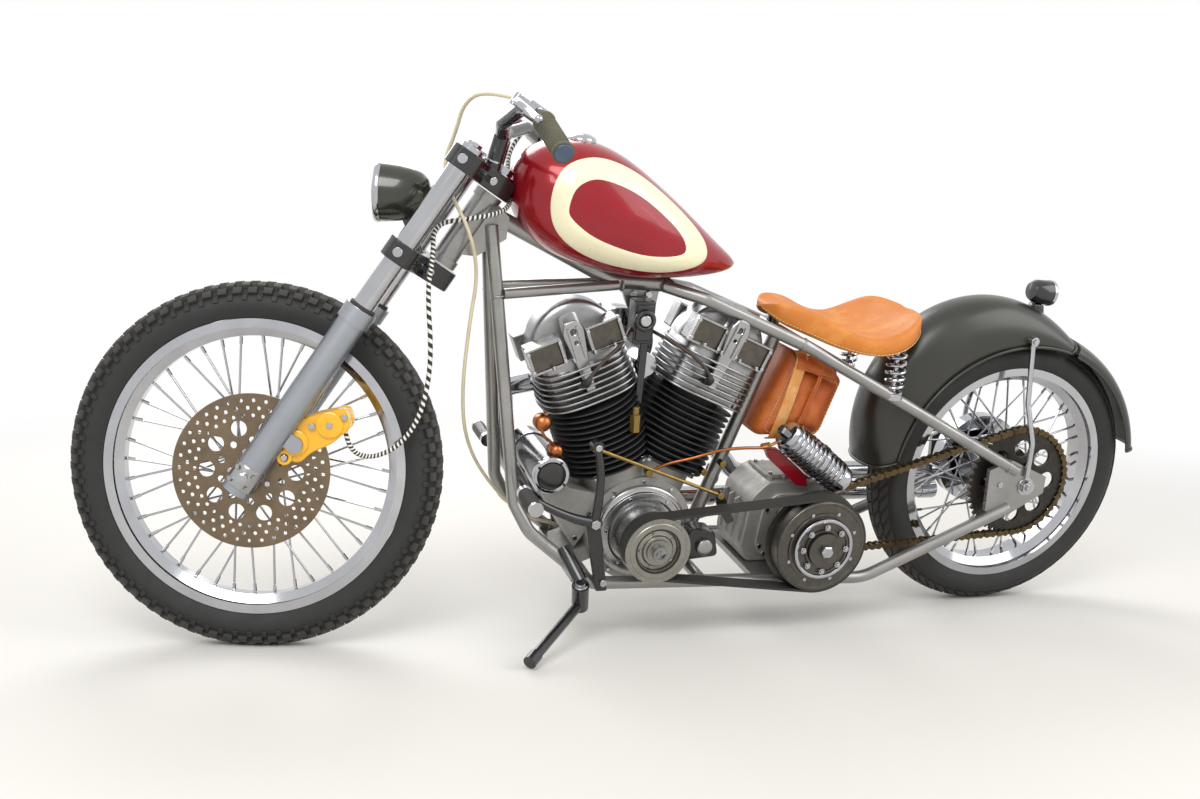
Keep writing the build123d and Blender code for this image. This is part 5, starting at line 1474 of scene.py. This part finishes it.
# Columns: how far down the canister, its radius there; eleven fins stand between the ends
rows = [(0.0, 10.0), (0.0, 24.0), (0.01, 29.0), (0.05, 31.0)]
for at in 0.085 + 0.075 * np.arange(11):
    rows += [(at, 30.0), (at + 0.004, 35.2), (at + 0.028, 35.2), (at + 0.032, 30.0)]
rows += [(0.93, 32.0), (0.97, 32.0), (1.0, 29.0), (1.0, 12.0)]
share, size = np.array(rows).T
share = np.maximum.accumulate(share + np.arange(len(share)) * 1e-4)
strap_at = (FILTER_TOP + FILTER_FOOT) / 2 + (-6, 0, -4)
filter_parts = [
    swept(FILTER_TOP + (FILTER_FOOT - FILTER_TOP) * share[:, None], size, 48),
    pins(FILTER_TOP, (12, 0, 9.2), 11), pins(FILTER_FOOT, (-9, 0, -6.9), 9),
    swept(strap_at + np.array([(-0.6, 0, -0.45), (0.4, 0, 0.3)]) * 7, 36.6, 48),
]
piece("finned_oil_filter", "chassis", filter_parts, chrome, "oil_filter", edge=0.3, smooth=30)
# its bracket is a flat plate, bolted to the gearbox
bracket_line = rounded([
    (609, 378), (541, 321), (513, 316), (521, 341), (590, 399), (622, 402),
], 3)
bracket = cut_plate([bracket_line], 66, 86, 1.2)
piece("filter_bracket", "chassis", [bracket], panel_red, edge=0.4, slot="tank_red")

# Gearbox case
# A ribbed sand-cast box with a bolted top cover, its output sprocket behind the clutch,
# and on the right the kick starter's cover, shaft, arm and rubbered pedal.
case_line = rounded([
    (425, 172), (436, 140), (624, 140), (641, 174), (629, 284), (592, 321), (450, 321), (425, 280),
], 12)
door_line = rounded([
    (440, 180), (452, 154), (596, 154), (612, 182), (602, 266), (574, 296), (462, 296), (440, 270),
], 11)
case = [cut_plate([case_line], -70, 62, 3.0), cut_plate([door_line], 58, 70, 2.5)]
case += [block((x, -56, 150), (x + 6, 56, 327)) for x in (462, 492, 552, 582)]
case += [block((420, y, 170), (430, y + 5, 270)) for y in (-40, -10, 20, 48)]
case += [block((632, y, 176), (642, y + 5, 270), 0.9) for y in (-50, -20, 10, 44)]
LID = np.array((524.0, 0.0, 320.0))
lid_line = rounded([(-66, -46), (66, -46), (66, 46), (-66, 46)], 12)
lid, lid_faces = cut_plate([lid_line], 0, 9, 2)
case.append((lid[:, [0, 2, 1]] + LID, lid_faces))
case.append(ring([(0.01, 70), (40, 70), (42, 72), (38, 84), (0.01, 84)], CLUTCH, 48, False))
case.append(ring([(19, 84), (19, 147), (0.01, 147), (0.01, 84)], CLUTCH, 32))
START = np.array((500.0, 0.0, 240.0))
case.append(ring([
    (0.01, -70), (68, -70), (68, -92), (60, -102), (30, -106), (0.01, -106),
], START, 72, False))
output_line = toothed(OUTPUT_TEETH, 1.5)
output = cut_plate([output_line, circle(0, 0, 18, 24)], 84.5, 91.5, centre=CLUTCH)
piece("gearbox_case", "chassis", case, raw_casting, "gearbox", edge=1.0)
piece("output_sprocket", "chassis", [output], dark_steel)
lid_spots = [(LID[0] + x, y, 326) for x in (-56, 0, 56) for y in (-38, 38)]
door_spots = [
    (452, 170), (452, 262), (478, 286), (566, 286), (594, 262), (602, 180), (590, 163), (470, 163),
]
# the kick starter's pedal stands out to the right from the end of its arm
KICK_END = np.array((408.0, 0.0, 402.0))
kick_parts = [
    pins(lid_spots, (0, 0, 8), 5), pins(in_plane(door_spots, 69), LEFT * 6, 5),
    pins(START + LEFT * -104, LEFT * -30, 14, 32),
    swept(curve_through([(500, -124, 240), (486, -130, 268), (440, -144, 340), (408, -150, 402)],
                        24), np.linspace(12, 8, 24), 16),
    pins(KICK_END - LEFT * 143, LEFT * -9, 12, 24), pins(KICK_END - LEFT * 222, LEFT * -4, 13, 24),
    on_ring(START, 8, 58, -104, -96, 4.5),
]
piece("gearbox_bolts_and_kick_arm", "chassis", kick_parts, chrome, edge=0.5)


# Foot controls and stand
# Forged black arms with chromed pegs in ribbed rubber sleeves, the gear lever on the
# left and the brake pedal on the right; the side stand turns on a chromed bolt.
def ribbed(start, end, low, high, count, sides=40):
    """A rubber sleeve between two points: rings of a low and a high radius in turn."""
    start, end = np.asarray(start, float), np.asarray(end, float)
    step = np.arange(count)[:, None] + np.array([0.04, 0.22, 0.72, 0.9])
    at = step.ravel()[:, None] / count
    return swept(start + (end - start) * at, np.tile([low, high, high, low], count), sides)


# moulded rubber: matt black
peg_rubber = finish(
    "black_peg_rubber", "grip_rubber", "#232321", 0.6, shade="#34332f", patch=20, gloss=0.75,
    grain=1.4, depth=0.06,
)
PEG, PIVOT, SHIFT = (1150, 0, 348), (1008, 0, 286), (1018, 0, 444)
sleeves = [ribbed(KICK_END - LEFT * 154, KICK_END - LEFT * 222, 11.5, 13, 10)]
peg_caps = [pins(SHIFT + LEFT * 178, LEFT * 6, 7)]
for side in (1, -1):
    out = LEFT * side
    sleeves.append(ribbed(PEG + out * 164, PEG + out * 238, 12.6, 14.2, 12))
    sleeves.append(ribbed(PIVOT + out * 156, PIVOT + out * 172, 15.1, 15.6, 3))
    peg_caps.append(pins(PEG + out * 237, out * 7.4, 14.2, 32))
    peg_caps.append(pins(PEG + out * 152, out * 12, 14.4, 32))
    peg_caps.append(pins(PIVOT + out * 174, out * 6, 10))
    peg_caps.append(rods([(974, side * 152, 152), (1004, side * 152, 284)],
                         [(974, side * 159, 152), (1004, side * 158, 284)], 8))
piece("foot_peg_rubbers", "chassis", sleeves, peg_rubber)
toe_arm = curve_through([
    (1008, 166, 286), (1050, 168, 296), (1100, 168, 318), (1136, 168, 340), (1150, 168, 348),
])
shift_arm = curve_through([
    (1008, 166, 286), (1004, 168, 330), (1003, 168, 380), (1010, 168, 420), (1018, 168, 444),
])
plate_line = rounded([
    (963, 133), (987, 133), (1020, 274), (1020, 300), (996, 300), (992, 284),
], 5)
lever_parts = [
    cut_plate([plate_line], 144.6, 153, 1.2),
    swept(toe_arm, np.linspace(10.5, 7, len(toe_arm)), 20),
    swept(shift_arm, np.linspace(10.5, 6.5, len(shift_arm)), 20),
    rods([(1008, 144.6, 286), (1150, 150, 348), (1018, 157, 444)],
         [(1008, 175, 286), (1150, 239, 348), (1018, 178, 444)], 11.6, 32),
]
piece("gear_lever_forging", "chassis", lever_parts, gloss_black, "gear_lever", 0.6, 50)
piece("foot_control_chrome", "chassis", peg_caps, chrome, edge=0.5)
STAND_PIVOT = np.array((1022.0, 166.0, 118.0))
STAND_AXIS = unit((0.17, 0.366, 0.915))
# Columns: body, name, and for each part where it starts and ends on the axis, radius, sides
for name, body, rows in (
    ("stand_pivot_bolt", "chassis", ((50, 58, 11, 6), (49.8, 52, 14, 32))),
    ("stand_pivot_nut", "side_stand", ((-13, -15, 14, 32), (-15, -22, 11, 6))),
):
    parts = [
        rods(STAND_PIVOT + STAND_AXIS * low, STAND_PIVOT + STAND_AXIS * high, radius, sides)
        for low, high, radius, sides in rows
    ]
    piece(name, body, parts, chrome, edge=0.6)

# Axles and frame joints
# Chromed nuts and washers clamp the rear axle and the fender's struts; fine weld beads run
# round the tube joints, and the engine hangs on bolts through its plates.
hub_nuts = [
    rods([(916, 5, 704), (884, 5, 704), (884, 5, 645)],
         [(916, 13, 704), (884, 13, 704), (884, 10, 645)], 8),
]
# Columns: place ahead and up, start and end outwards on both sides, radius, sides
for x, z, low, high, radius, sides in (
    (0, REAR_AXLE[2], 123, 125.5, 20, 40), (0, REAR_AXLE[2], 125.5, 136, 16, 6),
    (20, 636, 76, 93, 10, 32), (20, 636, 93, 97, 6.5, 6),
):
    ends = ([(x, y, z), (x, -y, z)] for y in (low, high))
    hub_nuts.append(rods(*ends, radius, sides))
hub_nuts.append(rods([(66, 121, 322), (66, -123, 322)], [(66, 127, 322), (66, -127, 322)], 7))
piece("axle_nuts", "chassis", hub_nuts, chrome, edge=0.7)


def bead(centre, along, radius, thick=2.2):
    """A weld bead: a thin ring of small ripples round a tube."""
    along = unit(along)
    side = unit(np.cross(along, (0.1, 0.9, 0.3)))
    a = np.linspace(0, 2 * np.pi, 64, endpoint=False)[:, None]
    out = radius * (np.cos(a) * side + np.sin(a) * np.cross(along, side))
    out = out + along * 0.6 * np.sin(16 * a)
    c, s = (turn[:, None] for turn in circling(8))
    grid = centre + out[:, None] + thick * (c * unit(out)[:, None] + s * along)
    return net(grid, round_u=True, round_v=True)


# Columns: place, direction of the tube, its radius; a place off the middle is on both sides
WELDS = [
    ((1206, 0, 848), (262, 0, 126), 16), ((1196, 33, 700), (65, -68, 532), 13),
    ((944, 12, 722), (235, 24, -17), 10), ((1012, 127, 160), (130, -20, 80), 13),
    ((842, 14, 722), (1, 0.2, 0.1), 13), ((575, 96, 627), (210, -45, 84), 13),
    ((52, 123, 259), (339, 5, -146), 13), ((50, 117, 362), (538, -20, 272), 13),
]
welds = [
    bead(np.array(place) * (1, side, 1), np.array(way) * (1, side, 1), radius)
    for place, way, radius in WELDS for side in ((1, -1) if place[1] else (1,))
]
piece("weld_beads", "chassis", welds, bare_steel, smooth=180)


# Fork yokes and bars
# Black yokes pinched on the chromed legs by bright bolts, a chromed stem nut and leg
# caps; black bar on two risers, with turned perches, curved levers and olive grips.
def facing(rows, centre, way, sides=72, closed=False):
    """A turned solid whose axis points along a direction: rows of (radius, along it)."""
    way = unit(way)
    side = unit(np.cross(way, (0, 1, 0.01)))
    points, faces = ring(rows, (0, 0, 0), sides, closed)
    return points @ np.array([side, way, np.cross(way, side)]) + centre, faces


YOKE_HALF = 19.0
YOKES = {"lower_yoke": 868, "upper_yoke": 1070}
half_yoke = [
    (-37, 18), (-14, 42), (22, 70), (33, 108), (46, 124), (82, 124), (95, 106), (95, 88),
    (80, 70), (54, 56), (36, 34),
]
yoke_line = rounded(half_yoke + [(x, -left) for x, left in half_yoke[::-1]], 7)
yoke_bolts = [
    pins(steering([(0, 0, 1089)]), STEER_UP * 4, 21, 40),
    pins(steering([(0, 0, 1093)]), STEER_UP * 13, 17),
]
for name, along in YOKES.items():
    points, faces = cut_plate([yoke_line], -YOKE_HALF, YOKE_HALF, 1.6)
    points = steering(points[:, [0, 2, 1]] + (0, 0, along))
    piece(f"{name}_casting", "fork", [(points, faces)], gloss_black, name, 0.8)
    for side in (1, -1):
        pinch, clamp = steering([(66, side * 122, along), (8, side * 58, along)])
        yoke_bolts.append(pins(pinch, LEFT * side * 8, 9, 24))
        yoke_bolts.append(pins(clamp, (LEFT * side + STEER_FORE * -0.85) * 8, 8, 24))
feet, seals, stanchions = [], [], []
FOOT_ROWS = [(0.01, 0), (24, 0), (28.6, 3), (28.6, 44), (27.2, 47), (20, 47)]
COLLAR_ROWS = [(26, 0), (30.4, 2), (30.8, 22), (29, 26.5), (20, 27)]
for side in (1, -1):
    foot, collar, seal, top, cap, nut = steering([
        (LEG_AHEAD, side * LEG_OUT, along) for along in (347, 719, 744, 1095, 1094, 1099)
    ])
    stanchions.append(rods(collar + STEER_UP * 27, top, 20.5, 96))
    yoke_bolts.append(pins(cap, STEER_UP * 5, 20.5, 40))
    yoke_bolts.append(pins(nut, STEER_UP * 8, 14))
    feet.append(facing(FOOT_ROWS, foot, STEER_UP, 64))
    feet.append(facing(COLLAR_ROWS, collar, STEER_UP, 64))
    # the foot's four pinch bolts stand out from it at two angles and two heights
    ends = [
        steering([
            (LEG_AHEAD + out * np.cos(a), side * (LEG_OUT + out * np.sin(a)), along)
            for a in (2.1, 0.9) for along in (358, 384)
        ]) for out in (29, 33)
    ]
    feet.append(rods(*ends, 5))
    seals.append(pins(seal, STEER_UP * 8, 25, 40))
piece("fork_stanchion_tubes", "fork", stanchions, chrome, "fork_stanchions")
piece("yoke_bolts", "fork", yoke_bolts, chrome, edge=0.8)
piece("fork_feet_and_collars", "fork", feet, turned_alloy, smooth=45)
piece("fork_seals", "fork", seals, peg_rubber, edge=2)

# moulded grip rubber: matt grey-olive
grip_rubber = finish(
    "olive_grip_rubber", "grip_rubber", "#5b5846", 0.6, shade="#474533", patch=30, gloss=0.72,
    grain=1.2, depth=0.05,
)
BAR = steering([(44, 110, 1163), (25, 200, 1199), (-11, 270, 1200), (-80, 385, 1166)])
# Columns: share of a grip's length, radius
share, size = np.array([
    (0, 12.0), (0.0, 19), (0.03, 19.5), (0.05, 19), (0.06, 17.2), (0.1, 17.0), (0.5, 17.6),
    (0.9, 17.0), (0.94, 17.2), (0.95, 18.6), (0.99, 18.6), (1.0, 15.0),
]).T
share = (share + np.arange(len(share)) * 1e-4)[:, None]
# Columns: how far from its middle, radius of each of the grip's ribs
rib_at, rib_size = np.array([(-0.009, 16.9), (-0.004, 18.0), (0.004, 18.0), (0.009, 16.9)]).T
t, ball = np.linspace(0, 1, 40), np.linspace(-1, 1, 12)
c, s = circling(16)
grips, grip_ends, blades, perches = [], [], [], []
for side in (1, -1):
    middle_bar, inner, outer = BAR[1:] * (1, side, 1)
    way = unit(outer - inner)
    start, end = inner + way * 22, outer + way * 2
    grips.append(swept(start + (end - start) * share, size, 48))
    for at in np.linspace(0.12, 0.88, 15):
        grips.append(swept(start + (end - start) * (at + rib_at[:, None]), rib_size, 48))
    grip_ends.append(pins(end, way * 3.4, 15.6, 40))
    root = inner + (middle_bar - inner) * 0.2
    hinge = root + STEER_FORE * 40
    perches.append(rods(root - STEER_FORE * 18, root + STEER_FORE * 20, 15.5, 32))
    perches.append(swept([root + STEER_FORE * k for k in (14, 30, 42)], [12.0, 11.0, 10.0], 24))
    perches.append(rods(hinge - STEER_UP * 11, hinge + STEER_UP * 11, 9, 24))
    tip = outer + STEER_FORE * 62 + STEER_UP * 20
    line = curve_through([
        hinge, hinge + (tip - hinge) * 0.18 + STEER_FORE * 10,
        hinge + (tip - hinge) * 0.55 - STEER_FORE * 4, tip,
    ])
    blades.append(swept(line, 7.5 - 1.8 * t, 16, np.stack([c, 0.5 * s], 1)))
    ball_line = tip + unit(line[-1] - line[-3]) * ball[:, None] * 7
    blades.append(swept(ball_line, np.sqrt(np.maximum(1 - ball**2, 0.02)) * 7, 20))
low, high = steering([(60, -236, 1176), (60, -236, 1204)])
perches += [rods(low, high, 19, 40), pins(high, STEER_UP * 4, 20.5, 40)]
piece("bar_grips", "fork", grips, grip_rubber, "grips")
# the grip's pressed end cap: blue-grey metal
cap_metal = finish(
    "blue_grey_cap", "alloy_satin", "#5b6a7c", 0.35, metal=0.7, shade="#465364", patch=14,
)
piece("grip_end_caps", "fork", grip_ends, cap_metal, edge=1.0)
piece("lever_blades", "fork", blades, chrome, "levers", smooth=60)
piece("lever_perches", "fork", perches, chrome, edge=1.2)
risers = []
for top in steering([(38, 42, 1146), (38, -42, 1146)]):
    risers.append(rods(top + STEER_UP * 2, top + STEER_UP * 14, 8))
    risers.append(rods(top - STEER_UP * 50 - STEER_FORE * 12,
                       top - STEER_UP * 46 - STEER_FORE * 11, 18, 32))
piece("riser_bolts", "fork", risers, chrome, edge=0.8)

# Lamps
# A bowl headlamp, black-green outside, with a chromed rim and a domed clear lens over a
# mirrored bowl; behind, a round tail lamp with a chromed rim and a red lens.
LAMP, FORWARD = np.array((1378.2, 0.0, 880.0)), (1, 0, 0)
bowl = facing([
    (0.01, -53), (14, -52), (28, -46), (40, -34), (48, -16), (52.5, 6), (55, 30), (55.5, 42),
    (52, 43), (50, 38),
], LAMP, FORWARD)
post_line = [steering([(26, 0, YOKES["lower_yoke"])])[0], (1358, 0, 806), LAMP - (6, 0, 44)]
post = swept(curve_through(post_line, 20), 8.0, 20)
lamp_shell = finish(
    "olive_black_enamel", "lamp_shell", "#26281f", 0.2, metal=0.3, shade="#33352a", patch=60,
    gloss=0.3, Coat_Weight=0.6,
)
piece("headlamp_bowl", "fork", [bowl, post], lamp_shell, "headlamp", smooth=60)
rim_rows = [(51, 40), (56.5, 40), (57.5, 43), (57, 48), (54, 51), (51, 50)]
rim = facing(rim_rows, LAMP, FORWARD, closed=True)
mirror = facing([(50, 42), (40, 30), (24, 22), (0.01, 19)], LAMP, FORWARD)
bulb = facing([(0.01, 34), (5, 33), (6, 28), (6, 18), (0.01, 18)], LAMP, FORWARD, 24)
piece("headlamp_rim", "fork", [rim, mirror, bulb], chrome, smooth=50)
# clear pressed glass
glass = finish("clear_lamp_glass", "chrome", "#f4f6f6", 0.03, Transmission_Weight=1.0, IOR=1.45)
lens = facing([
    (0.01, 58), (16, 57.4), (32, 55), (44, 51.6), (50.8, 47.5), (50.8, 44.5), (44, 48),
    (32, 51.4), (16, 53.8), (0.01, 54.4),
], LAMP, FORWARD)
piece("headlamp_lens", "fork", [lens], glass, smooth=180)

TAIL, TAIL_WAY = np.array((-61.0, 0.0, 725.0)), (-64.0, 0.0, -6.0)
shell = facing([
    (0.01, -50), (19, -48), (25.5, -38), (27.5, -6), (27.5, 0), (24, 0), (24, -4),
], TAIL, TAIL_WAY)
foot_line = rounded([(-46, 700), (-22, 702), (-18, 672), (-50, 678)], 5)
tail_foot = cut_plate([foot_line], -12, 12, 1.5)
piece("tail_lamp_shell", "chassis", [shell, tail_foot], gloss_black, "tail_lamp", smooth=50)
hoop_rows = [(23, -4), (28.5, -4), (29, 0), (28, 4), (24.5, 5), (23, 3)]
hoop = facing(hoop_rows, TAIL, TAIL_WAY, closed=True)
piece("tail_lamp_rim", "chassis", [hoop], chrome, smooth=50)
# red acrylic
red_lens = finish(
    "red_acrylic_lens", "rear_lamp", "#8e0d10", 0.12, shade="#740a0c", patch=8, Coat_Weight=0.6,
)
lens_rows = [(0.01, 9), (10, 8.2), (18, 5.6), (23.4, 1.5), (23.4, -2), (0.01, -2)]
piece("tail_lamp_lens", "chassis", [facing(lens_rows, TAIL, TAIL_WAY)], red_lens, smooth=180)

# Right side
# Chromed straight pipes with turned ends and clamps, the round air cleaner with its
# domed chrome cover, the timing cover's screws, four chromed pushrod tubes and the face
# of the rear brake's drum.
PIPES = [(-186, 196), (-182, 250)]
PIPE_END = 64.0
end_rows = [(19.5, 40), (22.5, 40), (23.5, 36), (23, 0), (21, 0), (19.5, 2)]
clamp_rows = [(21, 0), (24, 0), (24, 14), (21, 14)]
pipe_ends = [
    facing(rows, (x, y, z), (-1, 0, 0), 48, True) for y, z in PIPES
    for x, rows in ((PIPE_END, end_rows), (620.0, clamp_rows), (300.0, clamp_rows))
]
piece("exhaust_ends_and_clamps", "chassis", pipe_ends, chrome, edge=0.5)
soot = [facing([(0.01, 30), (19.6, 30)], (PIPE_END, y, z), (-1, 0, 0), 40) for y, z in PIPES]
piece("exhaust_bores", "chassis", soot, belt_rubber)
AIR = np.array((878.0, 0.0, 560.0))
air_parts = [
    ring([(0.01, -203), (24, -202.5), (52, -199), (70, -193), (78.5, -184), (78.5, -176),
          (76, -174), (0.01, -174)], AIR, 96, False),
    ring([(40, -156), (76, -156), (76, -174), (40, -174)], AIR, 96),
]
piece("air_cleaner_cover", "chassis", air_parts, chrome, smooth=50)
air_screws = [on_ring(AIR, 6, 44, -200, -206, 4), on_ring(AIR, 48, 76.4, -172, -158, 1.6, 5)]
piece("air_cleaner_screws", "chassis", air_screws, turned_alloy)
push_parts = []
for sign in (1, -1):
    for x in (10, 48):
        low, high = on_bank(sign, [(-sign * x, -106, 98), (-sign * x, -106, 396)])
        push_parts.append(rods(low, high, 9.4, 24))
        for share in (0.06, 0.5, 0.9):
            cup = low + (high - low) * share
            push_parts.append(pins(cup, (high - low) * 0.05, 12, 24))
piece("pushrod_tubes", "chassis", push_parts, chrome, edge=0.4)
around = np.radians((200, 245, 290, 335))
cover_spots = np.stack([CRANK[0] + 54 * np.cos(around), CRANK[2] + 54 * np.sin(around)], 1)
cover_spots = np.concatenate([
    cover_spots, [(992, 300), (960, 330), (812, 320), (784, 292), (930, 206), (866, 318)],
])
cover_parts = [
    pins(in_plane(cover_spots, -116), LEFT * -4, 4.5, 12),
    ring([(44, -117), (52, -117), (50, -120), (46, -120)], CRANK, 72),
]
piece("timing_cover_screws", "chassis", cover_parts, chrome, edge=0.4)
drum_rows = [(30, -90), (98, -90), (98, -92), (60, -93), (40, -97), (30, -97)]
piece("brake_drum_face", "rear_wheel", [ring(drum_rows, REAR_AXLE, 96)], satin_alloy, edge=0.6)
